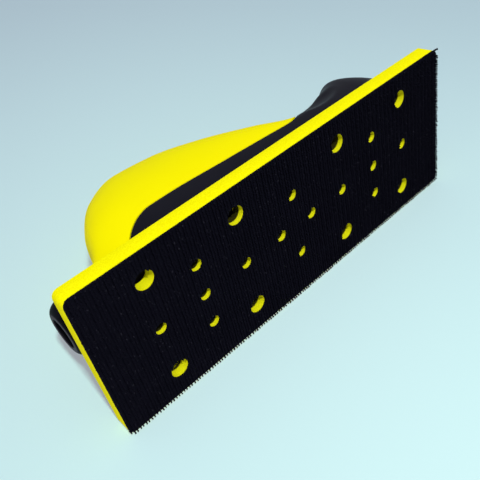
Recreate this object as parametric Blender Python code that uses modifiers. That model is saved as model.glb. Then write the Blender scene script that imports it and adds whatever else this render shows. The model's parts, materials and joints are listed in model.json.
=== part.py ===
# A hand sanding block for dust-free sanding: a long foam pad with a hook face, a hollow
# plastic housing with a raised nose, a soft palm grip, and a swivelling hose connector.
#
# Frame: +X points to the nose, the hose leaves towards -X, +Z points up from the pad.
# The origin is the centre of the pad's working face. All lengths are in metres.

import math

import bmesh
import bpy
from mathutils import Matrix, Vector

# Clearances
SEAT_GAP = 0.0003        # between two pieces that touch
OVERRUN = 0.004          # how far a cutter runs past what it cuts
WELD_DISTANCE = 0.000002

# Pad: the hook sheet and the foam that carries it
PAD_LENGTH = 0.198
PAD_WIDTH = 0.070
PAD_CORNER_RADIUS = 0.003
HOOK_THICKNESS = 0.0012
FOAM_THICKNESS = 0.0072
LARGE_HOLE_RADIUS = 0.004
SMALL_HOLE_RADIUS = 0.0025
CHANNEL_WIDTH = 0.0056
WIDE_CHANNEL_WIDTH = 0.0098   # where a channel takes in the large holes
CHANNEL_DEPTH = 0.0034
MAIN_CHANNEL_WIDTH = 0.008
MAIN_CHANNEL_DEPTH = 0.0037

# Rigid plate on the foam's back, and the flat gasket on the plate
PLATE_INSET = 0.003
PLATE_THICKNESS = 0.0022
PLATE_HOLE_RADIUS = 0.0048
SEAL_THICKNESS = 0.001
SEAL_WIDTH = 0.0014

# Housing and palm grip
BODY_REAR = 0.083        # from the origin back to the body's rear end
BODY_FRONT = 0.094       # from the origin forward to the nose's tip
BODY_WIDTH = 0.059
BODY_HEIGHT = 0.0717     # from the housing's foot to the top of the grip
WALL = 0.0024
GRIP_THICKNESS = 0.003
REAR_TUCK = 0.004        # how far the rear end's foot lies in front of the rear end
NOTCH_GAP = 0.0012       # groove between the grip's front edge and the nose
FLANGE_THICKNESS = 0.0041
RIB_THICKNESS = 0.0018
RIB_DEPTH = 0.004

# Finger rests scooped out of both sides of the nose
SCOOP_LENGTH = 0.046
SCOOP_HEIGHT = 0.036
SCOOP_DEPTH = 0.0045
SCOOP_WIDTH = 0.024

# Screws that hold the plate to the housing's bosses
SCREW_LENGTH = 0.012
SCREW_RADIUS = 0.00125
SCREW_HEAD_RADIUS = 0.0028
SCREW_HEAD_HEIGHT = 0.0016
SCREW_TIP_LENGTH = 0.0015
BOSS_RADIUS = 0.0036
BOSS_HEIGHT = 0.0145
WEB_THICKNESS = 0.0018

# Hose connection, along the port's axis
PORT_HEIGHT = 0.030      # the axis above the pad's working face
PORT_OUTREACH = 0.0002   # how far the housing's port stands out behind the body
PORT_DEPTH = 0.018       # how far it reaches into the body
PORT_WALL = 0.0022
BUSH_WALL = 0.0018
BUSH_FLANGE_THICKNESS = 0.0012
WASHER_THICKNESS = 0.0006
CONNECTOR_BORE_RADIUS = 0.0063
CONNECTOR_WALL = 0.0026
CONNECTOR_OUTREACH = 0.0145
CONNECTOR_TAIL = 0.0033  # how far the connector passes the bush on the inside
LIP_WIDTH = 0.0009       # the flat ring round the connector's mouth
DOME_LENGTH = 0.0065     # the rounded taper that the hose cuff is pushed over
NECK_STEP = 0.0011
RIM_THICKNESS = 0.0006
RIM_RADIUS = 0.0123
TAIL_BEVEL = 0.0005
RING_WALL = 0.0019
BLEED_LENGTH = 0.0018    # along the axis
CLIP_THICKNESS = 0.001
CLIP_WIDTH = 0.0022
CLIP_SLOT = 0.004
CLIP_GROOVE_DEPTH = 0.001
O_RING_RADIUS = 0.00062
O_RING_PLACE = 0.0045    # in from the bush's outer end

# Angles and counts
BLEED_ANGLE = math.radians(44)
HOLE_TURN = math.radians(7.3)
CORNER_SEGMENTS = 4
DOME_SEGMENTS = 4
HOLE_SEGMENTS = 12
SMALL_SEGMENTS = 10
ROUND_SEGMENTS = 28
O_RING_SEGMENTS = 6
BODY_STATIONS = 28
SIDE_POINTS = 7
PARTING_POINTS = 22
SCOOP_SEGMENTS = 20
SCOOP_RINGS = 12

# Heights, from the working face up
FOAM_BOTTOM = HOOK_THICKNESS + SEAT_GAP
FOAM_TOP = FOAM_BOTTOM + FOAM_THICKNESS
PLATE_BOTTOM = FOAM_TOP + SEAT_GAP
PLATE_TOP = PLATE_BOTTOM + PLATE_THICKNESS
BODY_BASE = PLATE_TOP + SEAT_GAP
SEAL_BOTTOM = BODY_BASE
SEAL_TOP = SEAL_BOTTOM + SEAL_THICKNESS
FLANGE_BOTTOM = SEAL_TOP + SEAT_GAP
FLANGE_TOP = FLANGE_BOTTOM + FLANGE_THICKNESS

# Insets of the body's layers from its outer surface
BODY_LENGTH = BODY_REAR + BODY_FRONT
CORE_INSET = GRIP_THICKNESS + SEAT_GAP
CAVITY_INSET = CORE_INSET + WALL
RIB_INSET = CAVITY_INSET + RIB_DEPTH
SEAL_INSET = CORE_INSET
SEAL_INNER_INSET = SEAL_INSET + SEAL_WIDTH

# Radii of the hose connection, from its bore outwards
NECK_RADIUS = CONNECTOR_BORE_RADIUS + CONNECTOR_WALL
BUSH_BORE_RADIUS = NECK_RADIUS + SEAT_GAP
BUSH_RADIUS = BUSH_BORE_RADIUS + BUSH_WALL
PORT_BORE_RADIUS = BUSH_RADIUS + SEAT_GAP
PORT_RADIUS = PORT_BORE_RADIUS + PORT_WALL
STEP_RADIUS = NECK_RADIUS + NECK_STEP
RING_BORE_RADIUS = STEP_RADIUS + SEAT_GAP
RING_RADIUS = RING_BORE_RADIUS + RING_WALL

# Places along the port's axis, from the body's rear end outwards
BUSH_OUTER = PORT_OUTREACH + SEAT_GAP + BUSH_FLANGE_THICKNESS
BUSH_INNER = -PORT_DEPTH + BUSH_FLANGE_THICKNESS
WASHER_INNER = BUSH_OUTER + SEAT_GAP
WASHER_OUTER = WASHER_INNER + WASHER_THICKNESS
STEP_PLACE = WASHER_OUTER + SEAT_GAP
RIM_OUTER = CONNECTOR_OUTREACH - DOME_LENGTH
RIM_INNER = RIM_OUTER - RIM_THICKNESS
RING_OUTER = RIM_INNER - SEAT_GAP
BLEED_INNER = (STEP_PLACE + RIM_INNER - BLEED_LENGTH) / 2
BLEED_OUTER = BLEED_INNER + BLEED_LENGTH
CLIP_OUTER = BUSH_INNER - SEAT_GAP
CLIP_INNER = CLIP_OUTER - CLIP_THICKNESS
CONNECTOR_INNER = BUSH_INNER - CONNECTOR_TAIL
CLIP_SEAT_RADIUS = NECK_RADIUS - CLIP_GROOVE_DEPTH
O_RING_CENTRE = BUSH_OUTER - O_RING_PLACE
O_RING_ORBIT = NECK_RADIUS - O_RING_RADIUS

# Holes in the pad, as shares of half its length and half its width
LARGE_HOLE_SHARES = [(sx * x, sy * 0.663) for x in (0.290, 0.717) for sx in (-1, 1) for sy in (-1, 1)]
MIDDLE_ROW_SHARES = [(sx * x, 0.0) for x in (0.092, 0.293, 0.510, 0.727) for sx in (-1, 1)]
SIDE_ROW_SHARES = [(x, sy * 0.421) for x in (-0.510, 0.0, 0.510) for sy in (-1, 1)]
SMALL_HOLE_SHARES = MIDDLE_ROW_SHARES + SIDE_ROW_SHARES

# Cross channels in the foam's back: place along the half length, reach over the half width
WIDE_CHANNEL_SHARES = [(-0.722, 0.800), (-0.294, 0.800), (0.294, 0.800), (0.722, 0.800)]
NARROW_CHANNEL_SHARES = [(-0.512, 0.510), (0.0, 0.510), (0.512, 0.510)]
MAIN_CHANNEL_REACH_SHARE = 0.745
PLATE_HOLE_SHARES = (-0.655, -0.512, -0.294, 0.0, 0.294, 0.512, 0.722)

# Outlines of the body: place along its length from the rear, then the share of its height
CREST_SHARES = [(0.000, 0.140), (0.020, 0.291), (0.045, 0.351), (0.085, 0.614), (0.152, 0.853),
                (0.254, 1.000), (0.356, 0.972), (0.469, 0.826), (0.571, 0.589), (0.662, 0.304),
                (0.700, 0.332), (0.751, 0.375), (0.790, 0.423), (0.830, 0.471), (0.872, 0.541),
                (0.920, 0.434), (0.966, 0.277), (1.000, 0.093)]
WAIST_SHARES = [(0.000, 0.205), (0.186, 0.205), (0.638, 0.149), (0.808, 0.121), (1.000, 0.066)]
TAPER_SHARES = [(0.000, 1.000), (0.186, 1.000), (0.751, 0.950), (1.000, 0.910)]
PARTING_SHARES = [(0.066, -0.060), (0.0706, -0.018), (0.0876, 0.052), (0.110, 0.106), (0.130, 0.148),
                  (0.163, 0.195), (0.198, 0.219), (0.254, 0.220), (0.393, 0.201), (0.534, 0.183),
                  (0.616, 0.173), (0.644, 0.191), (0.670, 0.247), (0.695, 0.338), (0.712, 0.470),
                  (0.722, 0.700)]
SQUARENESS_SHARES = [(0.000, 2.8), (0.638, 2.8), (0.808, 3.0), (1.000, 3.0)]
REAR_ROUND_SHARE = 0.196
FRONT_ROUND_SHARE = 0.842
REAR_ROUNDNESS = 2.17
FRONT_ROUNDNESS = 2.4
END_SHARE = 0.0012       # the flat left at each end of the loft
FOOT_DRAFT_SHARES = [(0.000, 0.140), (0.100, 0.070), (0.186, 0.040), (1.000, 0.035)]
LOWEST_CREST_SHARE = 0.02
LOWEST_WAIST_SHARE = 0.1
HIGHEST_WAIST_SHARE = 0.6
LOW_SIDE_SHARE = 0.25    # how much of the foot's draft is left halfway up to the waist
STATION_EASE_SHARE = 0.55
RING_SLOT_TURN_SHARE = 1.4

# Where ribs, bosses and finger rests lie along the body
RIB_PLACE_SHARES = (0.22, 0.36, 0.50)
BOSS_PLACE_SHARES = (0.20, 0.38, 0.60, 0.82)
WEB_HEIGHT_SHARE = 1.04   # a little past the boss, so that no slit is left above the web
SCOOP_PLACE_SHARE = 0.745
SCOOP_RISE_SHARE = 0.36
SCOOP_PITCH = math.radians(8)


def clear_scene():
    for item in list(bpy.data.objects):
        bpy.data.objects.remove(item, do_unlink=True)


def make_collection(name):
    collection = bpy.data.collections.new(name)
    bpy.context.scene.collection.children.link(collection)
    return collection


def make_material(name, colour, roughness, metallic=0.0):
    material = bpy.data.materials.new(name)
    material.use_nodes = True
    shader = material.node_tree.nodes["Principled BSDF"]
    shader.inputs["Base Color"].default_value = (*colour, 1.0)
    shader.inputs["Roughness"].default_value = roughness
    shader.inputs["Metallic"].default_value = metallic
    return material


clear_scene()
PARTS = make_collection("vacuum_sanding_block")
CUTTERS = make_collection("cutters")

HOOK_BLACK = make_material("hook_black", (0.006, 0.006, 0.012), 0.9)
FOAM_YELLOW = make_material("foam_yellow", (0.95, 0.84, 0.0), 0.85)
GRIP_YELLOW = make_material("grip_yellow", (0.93, 0.79, 0.0), 0.5)
SHELL_GREY = make_material("shell_grey", (0.022, 0.024, 0.032), 0.42)
PLATE_BLACK = make_material("plate_black", (0.015, 0.015, 0.017), 0.55)
RUBBER_BLACK = make_material("rubber_black", (0.01, 0.01, 0.01), 0.8)
PORT_GREY = make_material("port_grey", (0.05, 0.052, 0.06), 0.4)
ACETAL_WHITE = make_material("acetal_white", (0.75, 0.74, 0.70), 0.45)
SCREW_STEEL = make_material("screw_steel", (0.45, 0.45, 0.47), 0.35, 1.0)


# Helpers

def add_part(name, mesh, material):
    part = bpy.data.objects.new(name, mesh)
    if not mesh.materials:
        mesh.materials.append(material)
    PARTS.objects.link(part)
    return part


def add_cutter(name, mesh):
    cutter = bpy.data.objects.new(name, mesh)
    cutter.hide_render = True
    cutter.display_type = "WIRE"
    CUTTERS.objects.link(cutter)
    return cutter


def combine(target, other, operation):
    """Join, cut or trim one solid with another, and leave the modifier on the object."""
    modifier = target.modifiers.new(operation.lower() + "_" + other.name, "BOOLEAN")
    modifier.operation = operation
    modifier.solver = "EXACT"
    modifier.object = other
    return target


def weld(item):
    """Merge corners that lie closer together than any detail, so that the next cut stays clean."""
    modifier = item.modifiers.new("weld", "WELD")
    modifier.merge_threshold = WELD_DISTANCE
    return item


def finish_mesh(bm, name):
    bmesh.ops.recalc_face_normals(bm, faces=bm.faces)
    if bm.calc_volume(signed=True) < 0:
        bmesh.ops.reverse_faces(bm, faces=bm.faces)
    mesh = bpy.data.meshes.new(name)
    bm.to_mesh(mesh)
    bm.free()
    return mesh


def smooth(mesh, angle=math.radians(35)):
    mesh.shade_smooth()
    mesh.set_sharp_from_angle(angle=angle)
    return mesh


def mesh_of(source):
    """The mesh that an object shows with its modifiers, welded; the object is removed."""
    bpy.context.view_layer.update()
    shown = source.evaluated_get(bpy.context.evaluated_depsgraph_get())
    mesh = bpy.data.meshes.new_from_object(shown)
    mesh.transform(source.matrix_world)
    bpy.data.objects.remove(source, do_unlink=True)
    bm = bmesh.new()
    bm.from_mesh(mesh)
    bmesh.ops.remove_doubles(bm, verts=bm.verts, dist=WELD_DISTANCE)
    return finish_mesh(bm, mesh.name)


def smooth_through(table, at):
    """A smooth curve through a table of points that never swings past them."""
    steps = [(b[1] - a[1]) / (b[0] - a[0]) for a, b in zip(table, table[1:])]
    slopes = [steps[0]]
    for before, after in zip(steps, steps[1:]):
        slopes.append(2 * before * after / (before + after) if before * after > 0 else 0.0)
    slopes.append(steps[-1])
    at = min(max(at, table[0][0]), table[-1][0])
    last = next(i for i in range(1, len(table)) if at <= table[i][0])
    (x0, y0), (x1, y1) = table[last - 1], table[last]
    span = x1 - x0
    t = (at - x0) / span
    return (y0 * (1 + 2 * t) * (1 - t) ** 2 + slopes[last - 1] * span * t * (1 - t) ** 2
            + y1 * t * t * (3 - 2 * t) - slopes[last] * span * t * t * (1 - t))


def circle_points(centre, radius, segments, start=0.0):
    turns = [start + 2 * math.pi * i / segments for i in range(segments)]
    return [(centre[0] + radius * math.cos(a), centre[1] + radius * math.sin(a)) for a in turns]


def hole_loops(places, radius, segments):
    """Round holes. Each starts at its own angle, so no three corners of a row lie in line."""
    loops = []
    for number, place in enumerate(places):
        loops.append(circle_points(place, radius, segments, HOLE_TURN * number))
    return loops


def rounded_box_points(length, width, radius):
    points = []
    corners = ((1, 1, 0), (-1, 1, 1), (-1, -1, 2), (1, -1, 3))
    for side_x, side_y, quarter in corners:
        x = side_x * (length / 2 - radius)
        y = side_y * (width / 2 - radius)
        for i in range(CORNER_SEGMENTS + 1):
            angle = math.pi / 2 * (quarter + i / CORNER_SEGMENTS)
            points.append((x + radius * math.cos(angle), y + radius * math.sin(angle)))
    return points


def outline_mesh(name, loops, low, high):
    """A flat sheet from closed outlines; loops inside the first one are holes."""
    curve = bpy.data.curves.new(name, "CURVE")
    curve.dimensions = "2D"
    curve.fill_mode = "BOTH"
    curve.extrude = (high - low) / 2
    for loop in loops:
        spline = curve.splines.new("POLY")
        spline.points.add(len(loop) - 1)
        for point, (x, y) in zip(spline.points, loop):
            point.co = (x, y, 0, 1)
        spline.use_cyclic_u = True
    sheet = bpy.data.objects.new(name, curve)
    sheet.location.z = (high + low) / 2
    CUTTERS.objects.link(sheet)
    return mesh_of(sheet)


def side_prism(name, points):
    """A cutter with its outline in the side view, running across the whole width."""
    reach = BODY_WIDTH / 2 + OVERRUN
    mesh = outline_mesh(name, [points], -reach, reach)
    mesh.transform(Matrix.Rotation(math.pi / 2, 4, "X"))
    return add_cutter(name, mesh)


def box_mesh(name, low, high):
    low, high = Vector(low), Vector(high)
    bm = bmesh.new()
    bmesh.ops.create_cube(bm, size=1)
    bmesh.ops.scale(bm, verts=bm.verts, vec=high - low)
    bmesh.ops.translate(bm, verts=bm.verts, vec=(high + low) / 2)
    return finish_mesh(bm, name)


def profile_mesh(name, points, closed):
    """An open or closed profile of radius and height, for a Screw modifier."""
    mesh = bpy.data.meshes.new(name)
    edges = [(i, i + 1) for i in range(len(points) - 1)]
    if closed:
        edges.append((len(points) - 1, 0))
    mesh.from_pydata([(radius, 0, height) for radius, height in points], edges, [])
    return mesh


def turn(item, segments):
    modifier = item.modifiers.new("turn", "SCREW")
    modifier.steps = segments
    modifier.render_steps = segments
    modifier.use_merge_vertices = True
    modifier.merge_threshold = WELD_DISTANCE
    modifier.use_smooth_shade = False
    return item


def turned_mesh(name, points, closed=True, segments=ROUND_SEGMENTS, place=None):
    """A turned solid as a plain mesh, its axis along Z, moved by place."""
    item = bpy.data.objects.new(name, profile_mesh(name, points, closed))
    CUTTERS.objects.link(item)
    turn(item, segments)
    mesh = mesh_of(item)
    if place is not None:
        mesh.transform(place)
    return mesh


def copies_at(name, mesh, places):
    """One mesh that holds a copy of another at each place."""
    bm = bmesh.new()
    for place in places:
        moved = mesh.copy()
        moved.transform(Matrix.Translation(place))
        bm.from_mesh(moved)
        bpy.data.meshes.remove(moved)
    return finish_mesh(bm, name)


# The body's form: upright sections along its length, lofted

def plan_share(share):
    """Half width along the body, as a share of its largest."""
    ends = 1.0
    if share < REAR_ROUND_SHARE:
        reach = 1 - share / REAR_ROUND_SHARE
        ends = (1 - reach ** REAR_ROUNDNESS) ** (1 / REAR_ROUNDNESS)
    if share > FRONT_ROUND_SHARE:
        reach = (share - FRONT_ROUND_SHARE) / (1 - FRONT_ROUND_SHARE)
        ends = (1 - reach ** FRONT_ROUNDNESS) ** (1 / FRONT_ROUNDNESS)
    return ends * smooth_through(TAPER_SHARES, share)


def length_place(share, inset=0):
    return -BODY_REAR + inset + share * (BODY_LENGTH - 2 * inset)


def half_width(share, inset=0):
    return (BODY_WIDTH / 2 - inset) * plan_share(share)


def foot_width(share, inset=0):
    """Half width where the body stands on the plate: its sides draw in towards the foot."""
    return half_width(share, inset) * (1 - smooth_through(FOOT_DRAFT_SHARES, share))


def rear_tuck(share):
    """How far the foot lies in front of its section, near the rounded rear end."""
    return REAR_TUCK * max(0.0, 1 - share / REAR_ROUND_SHARE) ** 2


def section(share, inset, foot):
    """One section, from the foot on one side over the crest to the foot on the other."""
    width = half_width(share, inset)
    crest = BODY_BASE + BODY_HEIGHT * smooth_through(CREST_SHARES, share) - inset
    floor = max(foot, BODY_BASE)
    crest = max(crest, floor + BODY_HEIGHT * LOWEST_CREST_SHARE)
    waist = BODY_BASE + BODY_HEIGHT * smooth_through(WAIST_SHARES, share)
    waist = max(waist, floor + (crest - floor) * LOWEST_WAIST_SHARE)
    waist = min(waist, floor + (crest - floor) * HIGHEST_WAIST_SHARE)
    power = 2 / smooth_through(SQUARENESS_SHARES, share)
    narrow = foot_width(share, inset)
    x = length_place(share, inset)
    tuck = rear_tuck(share)
    low = LOW_SIDE_SHARE
    side = [(x + tuck, narrow, foot), (x + tuck * low, width - (width - narrow) * low, (floor + waist) / 2)]
    for i in range(SIDE_POINTS):
        angle = math.pi / 2 * i / SIDE_POINTS
        rise = math.sin(angle) ** power
        side.append((x, width * math.cos(angle) ** power, waist + (crest - waist) * rise))
    other = [(x, -y, z) for x, y, z in reversed(side)]
    return side + [(x, 0, crest)] + other


def station_shares():
    """Places of the sections, closer together towards both rounded ends."""
    shares = []
    for i in range(BODY_STATIONS):
        even = i / (BODY_STATIONS - 1)
        eased = (1 - math.cos(math.pi * even)) / 2
        blend = STATION_EASE_SHARE * eased + (1 - STATION_EASE_SHARE) * even
        shares.append(END_SHARE + (1 - 2 * END_SHARE) * blend)
    return shares


def body_loft(name, inset, foot=BODY_BASE):
    bm = bmesh.new()
    rings = []
    for share in station_shares():
        rings.append([bm.verts.new(point) for point in section(share, inset, foot)])
    middle = len(rings[0]) // 2
    for ring, ahead in zip(rings, rings[1:]):
        for i in range(middle):
            bm.faces.new((ring[i], ring[i + 1], ahead[i + 1]))
            bm.faces.new((ring[i], ahead[i + 1], ahead[i]))
        for i in range(middle, len(ring) - 1):
            bm.faces.new((ring[i], ring[i + 1], ahead[i]))
            bm.faces.new((ring[i + 1], ahead[i + 1], ahead[i]))
        bm.faces.new((ring[-1], ring[0], ahead[0], ahead[-1]))
    for ring in (rings[0], rings[-1]):
        for i in range(middle - 1):
            bm.faces.new((ring[i], ring[i + 1], ring[-2 - i], ring[-1 - i]))
        bm.faces.new(ring[middle - 1:middle + 2])
    return smooth(finish_mesh(bm, name))


def parting_line(offset, front_offset):
    """The line where grip and housing meet, in the side view, shifted upwards and back."""
    first, last = PARTING_SHARES[0][0], PARTING_SHARES[-1][0]
    points = []
    for i in range(PARTING_POINTS):
        share = first + (last - first) * i / (PARTING_POINTS - 1)
        points.append(Vector((length_place(share),
                              BODY_BASE + BODY_HEIGHT * smooth_through(PARTING_SHARES, share))))
    shifted = []
    for i, point in enumerate(points):
        along = (points[min(i + 1, len(points) - 1)] - points[max(i - 1, 0)]).normalized()
        rising = max(0.0, along.y) if i > len(points) / 2 else 0.0
        shift = offset + (front_offset - offset) * rising
        shifted.append((point.x - along.y * shift, point.y + along.x * shift))
    return shifted


def above_parting(name, offset, front_offset):
    """The region over the parting line, as a cutter."""
    line = parting_line(offset, front_offset)
    top = BODY_BASE + BODY_HEIGHT + OVERRUN
    bottom = BODY_BASE - 2 * OVERRUN
    back = -BODY_REAR - OVERRUN
    return side_prism(name, line + [(line[-1][0], top), (back, top), (back, bottom), (line[0][0], bottom)])


def plan_points(inset):
    """The body's outline at its foot, seen from above."""
    shares = station_shares()
    right = [(length_place(share, inset) + rear_tuck(share), foot_width(share, inset)) for share in shares]
    left = [(x, -y) for x, y in reversed(right)]
    return right + left


# Pad

def pad_places(shares):
    return [(x * PAD_LENGTH / 2, y * PAD_WIDTH / 2) for x, y in shares]


def build_hole_cutter(name, shares, radius, segments):
    """The holes through hook face and foam, as one cutter."""
    bm = bmesh.new()
    for loop in hole_loops(pad_places(shares), radius, segments):
        low = [bm.verts.new((x, y, -OVERRUN)) for x, y in loop]
        high = [bm.verts.new((x, y, FOAM_TOP + OVERRUN)) for x, y in loop]
        bm.faces.new(low)
        bm.faces.new(high)
        for i, vertex in enumerate(low):
            j = (i + 1) % segments
            bm.faces.new((vertex, low[j], high[j], high[i]))
    return add_cutter(name, finish_mesh(bm, name))


def pad_sheet(name, low, high):
    outline = rounded_box_points(PAD_LENGTH, PAD_WIDTH, PAD_CORNER_RADIUS)
    return smooth(outline_mesh(name, [outline], low, high))


def build_hook_face(cutters):
    face = add_part("hook_face", pad_sheet("hook_face", 0, HOOK_THICKNESS), HOOK_BLACK)
    for cutter in cutters:
        combine(face, cutter, "DIFFERENCE")
    return face


def build_foam_pad(cutters):
    """Foam with the same holes, and channels in its back that lead the dust inwards."""
    foam = add_part("foam_pad", pad_sheet("foam_pad", FOAM_BOTTOM, FOAM_TOP), FOAM_YELLOW)
    for cutter in cutters:
        combine(foam, cutter, "DIFFERENCE")
    channels = [(place, reach, WIDE_CHANNEL_WIDTH) for place, reach in WIDE_CHANNEL_SHARES]
    channels += [(place, reach, CHANNEL_WIDTH) for place, reach in NARROW_CHANNEL_SHARES]
    for number, (place, reach, width) in enumerate(channels, 1):
        x = place * PAD_LENGTH / 2
        y = reach * PAD_WIDTH / 2
        low = (x - width / 2, -y, FOAM_TOP - CHANNEL_DEPTH)
        high = (x + width / 2, y, FOAM_TOP + OVERRUN)
        combine(foam, add_cutter(f"cross_channel_{number}", box_mesh("channel", low, high)), "DIFFERENCE")
    reach = MAIN_CHANNEL_REACH_SHARE * PAD_LENGTH / 2
    low = (-reach, -MAIN_CHANNEL_WIDTH / 2, FOAM_TOP - MAIN_CHANNEL_DEPTH)
    high = (reach, MAIN_CHANNEL_WIDTH / 2, FOAM_TOP + OVERRUN)
    combine(foam, add_cutter("main_channel", box_mesh("channel", low, high)), "DIFFERENCE")
    return foam


# Plate, its screws and the gasket

def boss_offset(share):
    """How far a boss's centre lies from the middle, so that it stands beside the gasket."""
    reach = BOSS_RADIUS / BODY_LENGTH
    narrow = min(foot_width(share - reach, SEAL_INNER_INSET), foot_width(share + reach, SEAL_INNER_INSET))
    return narrow - SEAT_GAP - BOSS_RADIUS


def screw_places():
    places = []
    for share in BOSS_PLACE_SHARES:
        y = boss_offset(share)
        places += [(length_place(share), y), (length_place(share), -y)]
    return places


def build_pad_plate():
    outline = rounded_box_points(PAD_LENGTH - 2 * PLATE_INSET, PAD_WIDTH - 2 * PLATE_INSET, PAD_CORNER_RADIUS)
    places = pad_places([(place, 0.0) for place in PLATE_HOLE_SHARES])
    loops = [outline] + hole_loops(places, PLATE_HOLE_RADIUS, HOLE_SEGMENTS)
    mesh = outline_mesh("pad_plate", loops, PLATE_BOTTOM, PLATE_TOP)
    plate = add_part("pad_plate", smooth(mesh), PLATE_BLACK)
    hole = SCREW_RADIUS + SEAT_GAP
    seat = SCREW_HEAD_RADIUS + SEAT_GAP
    profile = [(0, -SCREW_HEAD_HEIGHT), (2 * seat - hole, -SCREW_HEAD_HEIGHT), (hole, SCREW_HEAD_HEIGHT),
               (hole, SCREW_HEAD_HEIGHT + OVERRUN), (0, SCREW_HEAD_HEIGHT + OVERRUN)]
    one = turned_mesh("screw_seat", profile, False, SMALL_SEGMENTS)
    places = [(x, y, PLATE_BOTTOM) for x, y in screw_places()]
    combine(plate, add_cutter("screw_seats", copies_at("screw_seats", one, places)), "DIFFERENCE")
    return plate


def build_plate_screws():
    """Countersunk screws, put in from below before the foam is glued on."""
    profile = [(0, SCREW_LENGTH), (SCREW_RADIUS, SCREW_LENGTH - SCREW_TIP_LENGTH),
               (SCREW_RADIUS, SCREW_HEAD_HEIGHT), (SCREW_HEAD_RADIUS, 0), (0, 0)]
    mesh = profile_mesh("plate_screw", profile, False)
    for number, (x, y) in enumerate(screw_places(), 1):
        screw = add_part(f"plate_screw_{number}", mesh, SCREW_STEEL)
        screw.location = (x, y, PLATE_BOTTOM)
        turn(screw, SMALL_SEGMENTS)


def build_plate_seal():
    outer = plan_points(SEAL_INSET)
    inner = plan_points(SEAL_INNER_INSET)
    mesh = outline_mesh("plate_seal", [outer, inner], SEAL_BOTTOM, SEAL_TOP)
    return add_part("plate_seal", mesh, RUBBER_BLACK)


# Housing

def scoop(name, side, extra):
    """An egg-shaped cutter beside the nose; extra makes it larger, to keep a wall behind it."""
    bm = bmesh.new()
    bmesh.ops.create_uvsphere(bm, u_segments=SCOOP_SEGMENTS, v_segments=SCOOP_RINGS, radius=1)
    size = (SCOOP_LENGTH / 2 + extra, SCOOP_WIDTH / 2 + extra, SCOOP_HEIGHT / 2 + extra)
    bmesh.ops.scale(bm, verts=bm.verts, vec=size)
    bmesh.ops.rotate(bm, verts=bm.verts, matrix=Matrix.Rotation(-SCOOP_PITCH, 3, "Y"))
    y = half_width(SCOOP_PLACE_SHARE) - SCOOP_DEPTH + SCOOP_WIDTH / 2
    z = BODY_BASE + SCOOP_RISE_SHARE * BODY_HEIGHT
    bmesh.ops.translate(bm, verts=bm.verts, vec=(length_place(SCOOP_PLACE_SHARE), side * y, z))
    return add_cutter(name, smooth(finish_mesh(bm, name)))


def port_cylinder(name, radius, inner, outer):
    """A cylinder on the port's axis; inner and outer are measured back from the body's end."""
    bm = bmesh.new()
    bmesh.ops.create_cone(bm, cap_ends=True, segments=ROUND_SEGMENTS, radius1=radius, radius2=radius,
                          depth=outer - inner)
    bmesh.ops.translate(bm, verts=bm.verts, vec=(0, 0, (outer + inner) / 2))
    mesh = smooth(finish_mesh(bm, name))
    mesh.transform(port_place())
    return add_cutter(name, mesh)


def port_place():
    """From a part turned about Z to the port's axis: its Z runs back, out of the body."""
    return Matrix.Translation((-BODY_REAR, 0, PORT_HEIGHT)) @ Matrix.Rotation(-math.pi / 2, 4, "Y")


def build_cavity():
    """The suction chamber: wide behind the side walls and the nose, narrower under the grip."""
    foot = BODY_BASE - OVERRUN
    wide = add_cutter("wide_cavity", body_loft("wide_cavity", WALL, FLANGE_TOP))
    combine(wide, above_parting("over_wide_cavity", -WALL, -WALL), "DIFFERENCE")
    for side, name in ((1, "left"), (-1, "right")):
        combine(wide, scoop(f"{name}_scoop_wall", side, WALL), "DIFFERENCE")
    cavity = add_cutter("cavity", body_loft("cavity", CAVITY_INSET, foot))
    for side, name in ((1, "left"), (-1, "right")):
        combine(cavity, scoop(f"{name}_scoop_back", side, WALL), "DIFFERENCE")
    combine(cavity, wide, "UNION")
    inside = add_cutter("rib_inside", body_loft("rib_inside", RIB_INSET, BODY_BASE))
    for number, share in enumerate(RIB_PLACE_SHARES, 1):
        x = length_place(share)
        reach = BODY_WIDTH / 2
        low = (x - RIB_THICKNESS / 2, -reach, FLANGE_BOTTOM + FLANGE_THICKNESS / 2)
        high = (x + RIB_THICKNESS / 2, reach, BODY_BASE + BODY_HEIGHT)
        rib = add_cutter(f"rib_{number}", box_mesh("rib", low, high))
        combine(rib, inside, "DIFFERENCE")
        combine(cavity, rib, "DIFFERENCE")
    pocket = outline_mesh("seal_pocket", [plan_points(GRIP_THICKNESS)], foot - OVERRUN, FLANGE_BOTTOM)
    combine(cavity, add_cutter("seal_pocket", pocket), "UNION")
    combine(cavity, build_bosses(), "DIFFERENCE")
    combine(cavity, port_cylinder("port_inside", PORT_RADIUS, -PORT_DEPTH, PORT_OUTREACH), "DIFFERENCE")
    return weld(cavity)


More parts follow.
